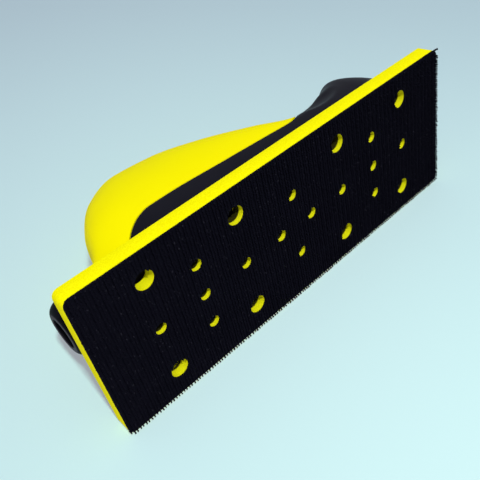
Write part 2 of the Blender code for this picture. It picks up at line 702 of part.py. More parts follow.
def build_bosses():
    """Posts for the plate screws, each tied to the side wall by a web; the cavity goes round them."""
    foot = BODY_BASE - 3 * OVERRUN
    top = BODY_BASE + BOSS_HEIGHT
    bm = bmesh.new()
    bmesh.ops.create_cone(bm, cap_ends=True, segments=HOLE_SEGMENTS, radius1=BOSS_RADIUS, radius2=BOSS_RADIUS,
                          depth=top - foot)
    post = finish_mesh(bm, "post")
    places = [(x, y, (top + foot) / 2) for x, y in screw_places()]
    posts = add_cutter("bosses", copies_at("bosses", post, places))
    for number, share in enumerate(BOSS_PLACE_SHARES, 1):
        x = length_place(share)
        reach = foot_width(share, WALL / 2)
        low = (x - WEB_THICKNESS / 2, boss_offset(share), FLANGE_BOTTOM + FLANGE_THICKNESS / 2)
        high = (x + WEB_THICKNESS / 2, reach, BODY_BASE + BOSS_HEIGHT * WEB_HEIGHT_SHARE)
        for side, name in ((1, "left"), (-1, "right")):
            mesh = box_mesh("web", low, high)
            if side < 0:
                mesh.transform(Matrix.Scale(side, 4, (0, 1, 0)))
                mesh.flip_normals()
            combine(posts, add_cutter(f"{name}_web_{number}", mesh), "UNION")
    return posts


def build_body_shell():
    shell = add_part("body_shell", body_loft("body_shell", 0, BODY_BASE - OVERRUN / 4), SHELL_GREY)
    combine(shell, above_parting("over_parting", 0, 0), "DIFFERENCE")
    core = add_cutter("core", body_loft("core", CORE_INSET, BODY_BASE - OVERRUN / 2))
    combine(shell, core, "UNION")
    for side, name in ((1, "left"), (-1, "right")):
        combine(shell, scoop(f"{name}_scoop", side, 0), "DIFFERENCE")
    combine(shell, port_cylinder("port", PORT_RADIUS, -PORT_DEPTH, PORT_OUTREACH), "UNION")
    combine(weld(shell), build_cavity(), "DIFFERENCE")
    below = box_mesh("below_base", (-BODY_REAR - OVERRUN, -BODY_WIDTH, BODY_BASE - OVERRUN),
                     (BODY_FRONT + OVERRUN, BODY_WIDTH, BODY_BASE))
    combine(weld(shell), add_cutter("below_base", below), "DIFFERENCE")
    hole = SCREW_RADIUS + SEAT_GAP
    depth = SCREW_LENGTH - PLATE_THICKNESS + SEAT_GAP
    bm = bmesh.new()
    bmesh.ops.create_cone(bm, cap_ends=True, segments=SMALL_SEGMENTS, radius1=hole, radius2=hole,
                          depth=depth + OVERRUN)
    places = [(x, y, PLATE_TOP + (depth - OVERRUN) / 2) for x, y in screw_places()]
    holes = copies_at("screw_holes", finish_mesh(bm, "screw_hole"), places)
    combine(weld(shell), add_cutter("screw_holes", holes), "DIFFERENCE")
    bore = port_cylinder("port_bore", PORT_BORE_RADIUS, -PORT_DEPTH - OVERRUN, PORT_OUTREACH + OVERRUN)
    return weld(combine(weld(shell), bore, "DIFFERENCE"))


def build_grip_cover():
    """The soft palm grip: a shell over the housing, open below, with a hole for the port."""
    cover = add_part("grip_cover", body_loft("grip_cover", 0), GRIP_YELLOW)
    combine(cover, above_parting("grip_region", SEAT_GAP, NOTCH_GAP), "INTERSECT")
    inside = add_cutter("grip_inside", body_loft("grip_inside", GRIP_THICKNESS, BODY_BASE - OVERRUN))
    combine(cover, inside, "DIFFERENCE")
    hole = port_cylinder("grip_port_hole", PORT_RADIUS + SEAT_GAP, -PORT_DEPTH - OVERRUN, OVERRUN)
    return combine(cover, hole, "DIFFERENCE")


# Hose connection: everything turned about the port's axis, which runs back out of the body

def turned_part(name, profile, material, segments=ROUND_SEGMENTS):
    """A ring from its closed profile, listed with the outer side running inwards along the axis."""
    part = add_part(name, profile_mesh(name, profile, True), material)
    part.matrix_world = port_place()
    return turn(part, segments)


def window(name, inner_radius, outer_radius, middle_angle):
    """A cutter for a bleed slot: a wedge of a ring, in the ring's own frame."""
    half = BLEED_ANGLE / 2
    angles = [middle_angle - half, middle_angle, middle_angle + half]
    near = [(inner_radius * math.cos(a), inner_radius * math.sin(a)) for a in angles]
    far = [(outer_radius * math.cos(a), outer_radius * math.sin(a)) for a in angles]
    mesh = outline_mesh(name, [near + far[::-1]], BLEED_INNER, BLEED_OUTER)
    mesh.transform(port_place())
    return add_cutter(name, mesh)


def build_port_bush():
    profile = [(BUSH_BORE_RADIUS, BUSH_OUTER), (PORT_RADIUS, BUSH_OUTER),
               (PORT_RADIUS, BUSH_OUTER - BUSH_FLANGE_THICKNESS),
               (BUSH_RADIUS, BUSH_OUTER - BUSH_FLANGE_THICKNESS),
               (BUSH_RADIUS, BUSH_INNER), (BUSH_BORE_RADIUS, BUSH_INNER)]
    return turned_part("port_bush", profile, ACETAL_WHITE)


def build_thrust_washer():
    profile = [(BUSH_BORE_RADIUS, WASHER_OUTER), (RING_RADIUS, WASHER_OUTER),
               (RING_RADIUS, WASHER_INNER), (BUSH_BORE_RADIUS, WASHER_INNER)]
    return turned_part("thrust_washer", profile, PORT_GREY)


def build_hose_connector():
    """Swivelling connector: a stepped neck, and a rounded spigot that the hose cuff goes over."""
    groove = O_RING_RADIUS + SEAT_GAP
    groove_radius = O_RING_ORBIT - O_RING_RADIUS - SEAT_GAP
    lip_radius = CONNECTOR_BORE_RADIUS + LIP_WIDTH
    dome = []
    for i in range(DOME_SEGMENTS + 1):
        angle = math.pi / 2 * i / DOME_SEGMENTS
        dome.append((lip_radius + (RIM_RADIUS - lip_radius) * math.sin(angle),
                     RIM_OUTER + DOME_LENGTH * math.cos(angle)))
    mouth = [(CONNECTOR_BORE_RADIUS, CONNECTOR_OUTREACH)]
    neck = [(RIM_RADIUS, RIM_INNER), (STEP_RADIUS, RIM_INNER),
            (STEP_RADIUS, STEP_PLACE), (NECK_RADIUS, STEP_PLACE)]
    o_ring_groove = [(NECK_RADIUS, O_RING_CENTRE + groove), (groove_radius, O_RING_CENTRE + groove),
                     (groove_radius, O_RING_CENTRE - groove), (NECK_RADIUS, O_RING_CENTRE - groove)]
    clip_groove = [(NECK_RADIUS, CLIP_OUTER + SEAT_GAP), (CLIP_SEAT_RADIUS, CLIP_OUTER + SEAT_GAP),
                   (CLIP_SEAT_RADIUS, CLIP_INNER - SEAT_GAP), (NECK_RADIUS, CLIP_INNER - SEAT_GAP)]
    tail = [(NECK_RADIUS, CONNECTOR_INNER + TAIL_BEVEL), (NECK_RADIUS - TAIL_BEVEL, CONNECTOR_INNER),
            (CONNECTOR_BORE_RADIUS, CONNECTOR_INNER)]
    profile = mouth + dome + neck + o_ring_groove + clip_groove + tail
    connector = turned_part("hose_connector", profile, PORT_GREY)
    slot = window("neck_bleed_slot", CONNECTOR_BORE_RADIUS - OVERRUN / 2, STEP_RADIUS + OVERRUN / 4, 0)
    return combine(connector, slot, "DIFFERENCE")


def build_o_ring():
    points = circle_points((O_RING_ORBIT, O_RING_CENTRE), O_RING_RADIUS, O_RING_SEGMENTS)
    return turned_part("o_ring", points[::-1], RUBBER_BLACK)


def build_retaining_clip():
    """A split spring ring in the connector's groove, behind the bush's inner end."""
    inner = CLIP_SEAT_RADIUS + SEAT_GAP
    outer = inner + CLIP_WIDTH
    profile = [(inner, CLIP_OUTER), (outer, CLIP_OUTER), (outer, CLIP_INNER), (inner, CLIP_INNER)]
    clip = turned_part("retaining_clip", profile, SCREW_STEEL)
    low = (0, -CLIP_SLOT / 2, CLIP_INNER - OVERRUN)
    high = (outer + OVERRUN, CLIP_SLOT / 2, CLIP_OUTER + OVERRUN)
    mesh = box_mesh("clip_slot", low, high)
    mesh.transform(port_place())
    return combine(clip, add_cutter("clip_slot", mesh), "DIFFERENCE")


def build_suction_ring():
    """Turning ring on the neck; its slot meets the neck's slot to let air in and ease the suction."""
    profile = [(RING_BORE_RADIUS, RING_OUTER), (RING_RADIUS, RING_OUTER),
               (RING_RADIUS, STEP_PLACE), (RING_BORE_RADIUS, STEP_PLACE)]
    ring = turned_part("suction_ring", profile, PORT_GREY)
    turned = BLEED_ANGLE * RING_SLOT_TURN_SHARE
    slot = window("ring_bleed_slot", STEP_RADIUS - OVERRUN / 4, RING_RADIUS + OVERRUN / 2, turned)
    return combine(ring, slot, "DIFFERENCE")


HOLE_CUTTERS = [build_hole_cutter("large_holes", LARGE_HOLE_SHARES, LARGE_HOLE_RADIUS, HOLE_SEGMENTS),
                build_hole_cutter("small_holes", SMALL_HOLE_SHARES, SMALL_HOLE_RADIUS, SMALL_SEGMENTS)]
build_hook_face(HOLE_CUTTERS)
build_foam_pad(HOLE_CUTTERS)
build_pad_plate()
build_plate_screws()
build_plate_seal()
build_body_shell()
build_grip_cover()
build_port_bush()
build_thrust_washer()
build_hose_connector()
build_o_ring()
build_retaining_clip()
build_suction_ring()
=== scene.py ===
# Vacuum sanding block: a perforated hook face on a foam pad, a dark moulded housing with a raised
# nose, a soft yellow palm grip over it, and a swivelling hose connector at the rear end.
#
# Frame: +X points to the nose, the hose leaves towards -X, +Z points up from the working face.

import json
import math

import bmesh
import bpy
import numpy as np
from mathutils import Matrix, Vector


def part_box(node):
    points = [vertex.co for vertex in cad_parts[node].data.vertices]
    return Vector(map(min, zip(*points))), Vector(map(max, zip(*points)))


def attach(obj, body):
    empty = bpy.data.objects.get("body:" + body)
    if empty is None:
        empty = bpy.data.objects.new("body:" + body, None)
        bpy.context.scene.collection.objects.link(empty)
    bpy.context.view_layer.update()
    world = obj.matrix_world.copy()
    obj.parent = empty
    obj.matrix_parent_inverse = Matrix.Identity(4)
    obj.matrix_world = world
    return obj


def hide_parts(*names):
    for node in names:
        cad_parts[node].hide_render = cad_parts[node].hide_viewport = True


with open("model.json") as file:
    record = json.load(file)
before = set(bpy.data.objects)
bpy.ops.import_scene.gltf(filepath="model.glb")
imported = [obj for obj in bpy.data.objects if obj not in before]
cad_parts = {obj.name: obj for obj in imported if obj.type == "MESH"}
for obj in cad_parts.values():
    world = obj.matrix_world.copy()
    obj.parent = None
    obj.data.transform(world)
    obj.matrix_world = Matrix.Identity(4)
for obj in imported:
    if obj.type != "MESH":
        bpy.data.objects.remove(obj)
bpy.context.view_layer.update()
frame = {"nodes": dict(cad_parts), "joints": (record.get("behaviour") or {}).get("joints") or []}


# Plate, gasket and screws
# The foam is glued to a rigid moulded plate, which eight zinc plated countersunk screws hold to
# bosses inside the housing. A flat rubber gasket between plate and housing keeps the suction in.

class Wire:
    """The output of a node, for use in sums: an operator adds the Math node that works it out."""

    def __init__(self, tree, socket):
        self.tree = tree
        self.socket = socket

    def joined(self, operation, first, second):
        return self.tree.add("ShaderNodeMath", {"operation": operation}, {0: first, 1: second})

    def __add__(self, other):
        return self.joined("ADD", self, other)

    def __radd__(self, other):
        return self.joined("ADD", other, self)

    def __sub__(self, other):
        return self.joined("SUBTRACT", self, other)

    def __rsub__(self, other):
        return self.joined("SUBTRACT", other, self)

    def __mul__(self, other):
        return self.joined("MULTIPLY", self, other)

    def __rmul__(self, other):
        return self.joined("MULTIPLY", other, self)

    def __truediv__(self, other):
        return self.joined("DIVIDE", self, other)

    def __rtruediv__(self, other):
        return self.joined("DIVIDE", other, self)


class Tree:
    """A node tree that is written as calls: one for each node, with its settings and its inputs."""

    def __init__(self, node_tree):
        self.nodes = node_tree.nodes
        self.links = node_tree.links

    def add(self, kind, settings=None, values=None, output=0):
        """A new node, and one of its outputs. An input takes a value, a wire or a list of wires."""
        node = self.nodes.new(kind)
        for name, value in (settings or {}).items():
            setattr(node, name, value)
        for name, value in (values or {}).items():
            wires = value if isinstance(value, list) else [value]
            if isinstance(wires[0], Wire):
                for wire in wires:
                    self.links.new(wire.socket, node.inputs[name])
            else:
                node.inputs[name].default_value = value
        return Wire(self, node.outputs[output]) if node.outputs else None

    def blend(self, factor, first, second, way="MIX"):
        """A colour from two colours, which are given as three shares or as wires."""
        values = {0: factor}
        for number, colour in ((6, first), (7, second)):
            values[number] = colour if isinstance(colour, Wire) else (*colour, 1.0)
        return self.add("ShaderNodeMix", {"data_type": "RGBA", "blend_type": way}, values, 2)

    def between(self, value, low, high):
        """0 below low, 1 above high, and a smooth step in between."""
        values = {"Value": value, "From Min": low, "From Max": high}
        return self.add("ShaderNodeMapRange", {"interpolation_type": "SMOOTHSTEP"}, values)


class Finish(Tree):
    """A material: constants sit on the shader's own sockets, and what varies is fed to them."""

    def __init__(self, name, roughness, metallic=0.0, specular=0.5):
        self.material = bpy.data.materials.new(name)
        self.material.use_nodes = True
        super().__init__(self.material.node_tree)
        self.shader = self.nodes["Principled BSDF"]
        self.shader.inputs["Roughness"].default_value = roughness
        self.shader.inputs["Metallic"].default_value = metallic
        self.shader.inputs["Specular IOR Level"].default_value = specular
        self.place = self.add("ShaderNodeTexCoord", output="Object")

    def noise(self, size, detail=2.0):
        """Soft mottling from 0 to 1; size is the width of one patch in metres."""
        values = {"Vector": self.place, "Scale": 1 / size, "Detail": detail}
        return self.add("ShaderNodeTexNoise", {}, values)

    def cells(self, size):
        """Distance from the middle of round cells of this size in metres."""
        values = {"Vector": self.place, "Scale": 1 / size}
        return self.add("ShaderNodeTexVoronoi", {}, values, "Distance")

    def along(self, axis):
        """How far a point lies along one axis, in metres."""
        return self.add("ShaderNodeSeparateXYZ", {}, {"Vector": self.place}, axis)

    def feed(self, socket, value):
        self.links.new(value.socket, self.shader.inputs[socket])

    def relief(self, height, depth):
        """Bump: height runs from 0 to 1 over this depth in metres."""
        self.feed("Normal", self.add("ShaderNodeBump", {}, {"Height": height, "Distance": depth}))


def paint(name, finish):
    """Give a node of the frame a finish; its shape stays as it is."""
    for slot in frame["nodes"][name].material_slots:
        slot.material = finish.material


PLATE_TEXTURE = 0.0007
PLATE_TEXTURE_DEPTH = 0.00006
PLATE_COLOURS = (0.008, 0.008, 0.009), (0.017, 0.017, 0.019)
RUBBER_BLOOM = 0.004
RUBBER_GRAIN = 0.0006
RUBBER_GRAIN_DEPTH = 0.00005
RUBBER_COLOURS = (0.008, 0.008, 0.008), (0.022, 0.022, 0.021)
ZINC_BLOOM = 0.0015
ZINC_GRAIN = 0.0004
ZINC_GRAIN_DEPTH = 0.00002
ZINC_COLOURS = (0.42, 0.42, 0.45), (0.62, 0.62, 0.63)
ZINC_LEAST_ROUGHNESS = 0.22
ZINC_ROUGHNESS_SPREAD = 0.25
SCREW_COUNT = 8

moulded_plate = Finish("moulded_plate", roughness=0.6, specular=0.3)
plate_grain = moulded_plate.noise(PLATE_TEXTURE)
moulded_plate.feed("Base Color", moulded_plate.blend(plate_grain, *PLATE_COLOURS))
moulded_plate.relief(plate_grain, PLATE_TEXTURE_DEPTH)
paint("pad_plate", moulded_plate)

gasket_rubber = Finish("gasket_rubber", roughness=0.85, specular=0.2)
rubber_bloom = gasket_rubber.noise(RUBBER_BLOOM, detail=4.0)
gasket_rubber.feed("Base Color", gasket_rubber.blend(rubber_bloom, *RUBBER_COLOURS))
gasket_rubber.relief(gasket_rubber.noise(RUBBER_GRAIN), RUBBER_GRAIN_DEPTH)
paint("plate_seal", gasket_rubber)

zinc_plating = Finish("zinc_plating", roughness=0.35, metallic=1.0)
zinc_bloom = zinc_plating.noise(ZINC_BLOOM, detail=5.0)
zinc_plating.feed("Base Color", zinc_plating.blend(zinc_bloom, *ZINC_COLOURS))
zinc_plating.feed("Roughness", zinc_bloom * ZINC_ROUGHNESS_SPREAD + ZINC_LEAST_ROUGHNESS)
zinc_plating.relief(zinc_plating.noise(ZINC_GRAIN), ZINC_GRAIN_DEPTH)
for number in range(1, SCREW_COUNT + 1):
    paint(f"plate_screw_{number}", zinc_plating)


# Foam pad
# A firm yellow foam slab, cut to the abrasive's size, with large and small dust holes punched
# through it and channels milled in its back. It is glued between the plate and the hook sheet.

class Recipe(Tree):
    """A Geometry Nodes tree with named sizes as its inputs."""

    def __init__(self, name, **sizes):
        self.group = bpy.data.node_groups.new(name, "GeometryNodeTree")
        super().__init__(self.group)
        sockets = self.group.interface
        sockets.new_socket("Geometry", in_out="INPUT", socket_type="NodeSocketGeometry")
        sockets.new_socket("Geometry", in_out="OUTPUT", socket_type="NodeSocketGeometry")
        self.keys = {}
        for label, value in sizes.items():
            kind = "NodeSocketInt" if isinstance(value, int) else "NodeSocketFloat"
            socket = sockets.new_socket(label, in_out="INPUT", socket_type=kind)
            self.keys[label] = socket.identifier
        self.sizes = sizes
        self.shape = self.add("NodeGroupInput", output="Geometry")

    def size(self, label):
        return self.add("NodeGroupInput", output=label)

    def join(self, *shapes):
        return self.add("GeometryNodeJoinGeometry", {}, {0: list(reversed(shapes))})

    def vector(self, x=0.0, y=0.0, z=0.0):
        return self.add("ShaderNodeCombineXYZ", {}, {"X": x, "Y": y, "Z": z})

    def close(self, shape, finish):
        """The end of the tree: real faces with their material."""
        real = self.add("GeometryNodeRealizeInstances", {}, {0: shape})
        done = self.add("GeometryNodeSetMaterial", {}, {0: real, "Material": finish.material})
        self.add("NodeGroupOutput", {}, {0: done})

    def grow(self, item, **changes):
        """Run the tree on an object, with changed sizes or not, and leave a plain mesh in it."""
        modifier = item.modifiers.new(self.group.name, "NODES")
        modifier.node_group = self.group
        for label, value in {**self.sizes, **changes}.items():
            modifier[self.keys[label]] = value
        return settle(item)


def settle(item):
    """Replace an object's mesh by what it shows with its modifiers, and remove them."""
    bpy.context.view_layer.update()
    shown = item.evaluated_get(bpy.context.evaluated_depsgraph_get())
    mesh = bpy.data.meshes.new_from_object(shown)
    item.modifiers.clear()
    item.data = mesh
    mesh.name = item.name
    return item


def new_piece(name, mesh):
    item = bpy.data.objects.new(name, mesh)
    bpy.context.scene.collection.objects.link(item)
    return item


def mesh_from(bm, name):
    mesh = bpy.data.meshes.new(name)
    bm.to_mesh(mesh)
    bm.free()
    return mesh


def round_edges(item, width, segments=3):
    modifier = item.modifiers.new("round_edges", "BEVEL")
    modifier.width = width
    modifier.segments = segments
    modifier.limit_method = "ANGLE"
    modifier.angle_limit = SHARP_ANGLE
    return settle(item)


def dress(item, finish):
    """One finish all over, and smooth shading between the sharp edges."""
    item.data.materials.clear()
    item.data.materials.append(finish.material)
    item.data.polygons.foreach_set("material_index", [0] * len(item.data.polygons))
    item.data.shade_smooth()
    item.data.set_sharp_from_angle(angle=SHARP_ANGLE)
    return item


def stand_for(item, node, body):
    """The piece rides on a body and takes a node's place."""
    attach(item, body)
    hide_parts(node)


SHARP_ANGLE = math.radians(40)
MERGE_DISTANCE = 0.000001
LARGE_HOLE_RADIUS = 0.004
SMALL_HOLE_RADIUS = 0.0025
HOLE_STEPS = 48
PAD_CORNER_RADIUS = 0.003
PAD_CORNER_STEPS = 10
FOAM_EDGE = 0.0005
CHANNEL_WIDTH = 0.0056
WIDE_CHANNEL_WIDTH = 0.0098
CHANNEL_DEPTH = 0.0022
MAIN_CHANNEL_WIDTH = 0.008
MAIN_CHANNEL_EXTRA_DEPTH = 0.0003
CUT_OVERRUN = 0.002
FOAM_CELL = 0.0005
FOAM_CELL_DEPTH = 0.00006
FOAM_CELL_WALL = (0.15, 0.75)
FOAM_COLOURS = (0.92, 0.86, 0.0), (1.0, 0.98, 0.002)
FOAM_DRIFT = 0.012
FOAM_DRIFT_COLOUR = (0.95, 0.88, 0.0)
FOAM_DRIFT_SHARE = 0.2
PUNCHED_WALL_AND_SHADE_COLOUR = (0.80, 0.80, 0.006)
PUNCHED_WALL_AND_SHADE_FROM_SHARES = (0.1, 0.3)
HOLE_SHADE_COLOUR = (0.012, 0.011, 0.004)
HOLE_SHADE_FROM_SHARES = (0.98, 1.12)
HOLE_SHADE_DRIFT_SHARE = 0.1
HOLE_SHADE_SHARE = 0.98

# Places in the pad, as shares of half its length and half its width
LARGE_HOLE_SHARES = [(side * x, edge * 0.663)
                     for x in (0.290, 0.717) for side in (-1, 1) for edge in (-1, 1)]
SMALL_HOLE_SHARES = [(side * x, 0.0) for x in (0.092, 0.293, 0.510, 0.727) for side in (-1, 1)]
SMALL_HOLE_SHARES += [(x, edge * 0.421) for x in (-0.510, 0.0, 0.510) for edge in (-1, 1)]
WIDE_CHANNEL_SHARES = [(-0.722, 0.800), (-0.294, 0.800), (0.294, 0.800), (0.722, 0.800)]
NARROW_CHANNEL_SHARES = [(-0.512, 0.510), (0.0, 0.510), (0.512, 0.510)]
MAIN_CHANNEL_REACH_SHARE = 0.745

# How deep each hole's wall is painted as lit, from the working face, before painted shade darkens
# it
LARGE_HOLE_LIT_DEPTHS = (0.0036, 0.0048, 0.0036, 0.0042, 0.0080, 0.0052, 0.0044, 0.0038)
SMALL_HOLE_LIT_DEPTH = 0.0032

foam_low, foam_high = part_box("foam_pad")
pad_half_length, pad_half_width = foam_high.x, foam_high.y
dust_holes = [(x * pad_half_length, y * pad_half_width, LARGE_HOLE_RADIUS, lit_depth)
              for (x, y), lit_depth in zip(LARGE_HOLE_SHARES, LARGE_HOLE_LIT_DEPTHS)]
dust_holes += [(x * pad_half_length, y * pad_half_width, SMALL_HOLE_RADIUS, SMALL_HOLE_LIT_DEPTH)
               for x, y in SMALL_HOLE_SHARES]

open_foam = Finish("open_foam", roughness=0.9, specular=0.03)
foam_pores = open_foam.between(open_foam.cells(FOAM_CELL), *FOAM_CELL_WALL)
foam_drift = open_foam.noise(FOAM_DRIFT, detail=3.0)
foam_colour = open_foam.blend(foam_pores, *FOAM_COLOURS)
foam_colour = open_foam.blend(foam_drift * FOAM_DRIFT_SHARE, foam_colour, FOAM_DRIFT_COLOUR)
hole_depth = open_foam.add("ShaderNodeAttribute", {"attribute_name": "hole_depth"}, output="Fac")
# The hole walls turn a duller yellow just below each mouth: the cut foam's face, and painted shade
# in the hole.
punched_wall_and_shade = open_foam.between(hole_depth, *PUNCHED_WALL_AND_SHADE_FROM_SHARES)
foam_colour = open_foam.blend(punched_wall_and_shade, foam_colour, PUNCHED_WALL_AND_SHADE_COLOUR)
# Painted shade: deeper in each hole than the depth painted as lit, the wall turns almost black,
# with an uneven edge.
uneven_depth = hole_depth + foam_drift * HOLE_SHADE_DRIFT_SHARE
hole_shade = open_foam.between(uneven_depth, *HOLE_SHADE_FROM_SHARES)
foam_colour = open_foam.blend(hole_shade * HOLE_SHADE_SHARE, foam_colour, HOLE_SHADE_COLOUR)
open_foam.feed("Base Color", foam_colour)
open_foam.relief(foam_pores, FOAM_CELL_DEPTH)

perforated_sheet = Recipe("perforated_sheet", Length=2 * pad_half_length,
                          Width=2 * pad_half_width, Corner=PAD_CORNER_RADIUS,
                          Thickness=foam_high.z - foam_low.z)


def write_perforated_sheet(recipe, finish):
    """A sheet with rounded corners, and a round hole of its own radius at each point."""
    outline = recipe.add("GeometryNodeCurvePrimitiveQuadrilateral", {"mode": "RECTANGLE"},
                         {"Width": recipe.size("Length"), "Height": recipe.size("Width")})
    outline = recipe.add("GeometryNodeFilletCurve", {"mode": "POLY"},
                         {"Curve": outline, "Count": PAD_CORNER_STEPS,
                          "Radius": recipe.size("Corner")})
    circle = recipe.add("GeometryNodeCurvePrimitiveCircle", {"mode": "RADIUS"},
                        {"Resolution": HOLE_STEPS, "Radius": 1.0})
    radius = recipe.add("GeometryNodeInputNamedAttribute", {"data_type": "FLOAT"},
                        {"Name": "radius"})
    holes = recipe.add("GeometryNodeInstanceOnPoints", {},
                       {"Points": recipe.shape, "Instance": circle,
                        "Scale": recipe.vector(radius, radius, radius)})
    holes = recipe.add("GeometryNodeRealizeInstances", {}, {0: holes})
    flat = recipe.add("GeometryNodeFillCurve", {"mode": "TRIANGLES"},
                      {"Curve": recipe.join(outline, holes)})
    raised = recipe.add("GeometryNodeExtrudeMesh", {"mode": "FACES"},
                        {"Mesh": flat, "Offset Scale": recipe.size("Thickness"),
                         "Individual": False})
    below = recipe.add("GeometryNodeFlipFaces", {}, {"Mesh": flat})
    whole = recipe.add("GeometryNodeMergeByDistance", {},
                       {"Geometry": recipe.join(raised, below), "Distance": MERGE_DISTANCE})
    recipe.close(whole, finish)


write_perforated_sheet(perforated_sheet, open_foam)


def hole_points(name):
    """One point for each dust hole, with the hole's radius as an attribute."""
    mesh = bpy.data.meshes.new(name)
    mesh.from_pydata([(x, y, 0) for x, y, _, _ in dust_holes], [], [])
    radii = mesh.attributes.new("radius", "FLOAT", "POINT")
    radii.data.foreach_set("value", [radius for _, _, radius, _ in dust_holes])
    return new_piece(name, mesh)


def milled_channels(top, floor_main, floor_cross):
    """Boxes that cut the channels in the foam's back: one along the pad, the others across it."""
    main_reach = MAIN_CHANNEL_REACH_SHARE * pad_half_length
    strips = [(0.0, main_reach, MAIN_CHANNEL_WIDTH / 2, floor_main)]
    for shares, width in ((WIDE_CHANNEL_SHARES, WIDE_CHANNEL_WIDTH),
                          (NARROW_CHANNEL_SHARES, CHANNEL_WIDTH)):
        strips += [(x * pad_half_length, width / 2, y * pad_half_width, floor_cross)
                   for x, y in shares]
    cutters = []
    for x, half_x, half_y, floor in strips:
        bm = bmesh.new()
        bmesh.ops.create_cube(bm, size=1)
        bmesh.ops.scale(bm, verts=bm.verts, vec=(2 * half_x, 2 * half_y, top + CUT_OVERRUN - floor))
        bmesh.ops.translate(bm, verts=bm.verts, vec=(x, 0.0, (top + CUT_OVERRUN + floor) / 2))
        cutters.append(new_piece("channel", mesh_from(bm, "channel")))
    return cutters


def cut(item, cutters):
    """Cut an object with others, which are then removed."""
    for cutter in cutters:
        modifier = item.modifiers.new("cut", "BOOLEAN")
        modifier.operation = "DIFFERENCE"
        modifier.solver = "EXACT"
        modifier.object = cutter
    settle(item)
    for cutter in cutters:
        bpy.data.objects.remove(cutter, do_unlink=True)
    return item


def mark_hole_depth(item):
    """How deep each point of a hole's wall lies, as a share of the depth down to which the wall is
    painted as lit.
    """
    depths = []
    for vertex in item.data.vertices:
        depth = 0.0
        for x, y, radius, lit_depth in dust_holes:
            if math.hypot(vertex.co.x - x, vertex.co.y - y) < radius + FOAM_EDGE:
                depth = vertex.co.z / lit_depth
        depths.append(depth)
    item.data.attributes.new("hole_depth", "FLOAT", "POINT").data.foreach_set("value", depths)


foam = perforated_sheet.grow(hole_points("foam_slab"))
foam.data.transform(Matrix.Translation((0, 0, foam_low.z)))
round_edges(foam, FOAM_EDGE)
cross_floor = foam_high.z - CHANNEL_DEPTH
cut(foam, milled_channels(foam_high.z, cross_floor - MAIN_CHANNEL_EXTRA_DEPTH, cross_floor))
dress(foam, open_foam)
mark_hole_depth(foam)
stand_for(foam, "foam_pad", "block")


# Hook face
# Woven hook tape: a thin black ground cloth with stiff nylon hooks in rows across the pad, which
# hold the loop-backed abrasive. It is glued to the foam and punched with the same dust holes.

GROUND_THICKNESS = 0.0006
GROUND_EDGE = 0.00008
ROW_PITCH = 0.00135
HOOK_PITCH = 0.00105
HOOK_WIRE_RADIUS = 0.00033
HOOK_JITTER = 0.00014
HOOK_MARGIN = 0.0002
HOOK_PROUD = 0.0006
HOOK_RISE_SHARE = 1.65
HOOK_ROOT_SHARE = 1.3
HOOK_TIP_THINNESS_SHARE = 0.75
HOOK_REACH_SHARE = 0.55
HOOK_TIP_SHARE = 0.5
HOOK_STEPS = 3
HOOK_SIDES = 3
HOOK_SWAY = 0.4
HOOK_LEAST_GROWTH_SHARE = 0.82
HOOK_INWARD_SHARE = 0.99
HOOK_SEED = 7
TAPE_WEAR = 0.02
TAPE_COLOURS = (0.0022, 0.0022, 0.0052), (0.0046, 0.0046, 0.0096)
TAPE_GLINT = 0.0011
TAPE_GLINT_FROM = (0.66, 0.80)
TAPE_GLINT_SHARE = 0.4
TAPE_GLINT_COLOUR = (0.05, 0.05, 0.068)
TAPE_ROW_RELIEF = 0.00012

hook_low, hook_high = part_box("hook_face")

hook_nylon = Finish("hook_nylon", roughness=0.75, specular=0.03)
row_wave = hook_nylon.along("X") * (2 * math.pi / ROW_PITCH)
row_wave = hook_nylon.add("ShaderNodeMath", {"operation": "SINE"}, {0: row_wave})
tape_colour = hook_nylon.blend(hook_nylon.noise(TAPE_WEAR, detail=4.0), *TAPE_COLOURS)
# Painted glints: soft blue-grey specks over the black tape.
tape_glint = hook_nylon.between(hook_nylon.noise(TAPE_GLINT, detail=1.0), *TAPE_GLINT_FROM)
tape_colour = hook_nylon.blend(tape_glint * TAPE_GLINT_SHARE, tape_colour, TAPE_GLINT_COLOUR)
hook_nylon.feed("Base Color", tape_colour)
hook_nylon.relief(row_wave * 0.5 + 0.5, TAPE_ROW_RELIEF)

ground_bottom = hook_high.z - GROUND_THICKNESS
rows_length, rows_width = (2 * (reach - HOOK_MARGIN) for reach in (hook_high.x, hook_high.y))
hook_rows = Recipe("hook_rows", Length=rows_length, Width=rows_width,
                   Rows=round(rows_length / ROW_PITCH) + 1,
                   Hooks=round(rows_width / HOOK_PITCH) + 1,
                   Height=ground_bottom - hook_low.z + HOOK_PROUD,
                   Wire=HOOK_WIRE_RADIUS, Seed=HOOK_SEED)


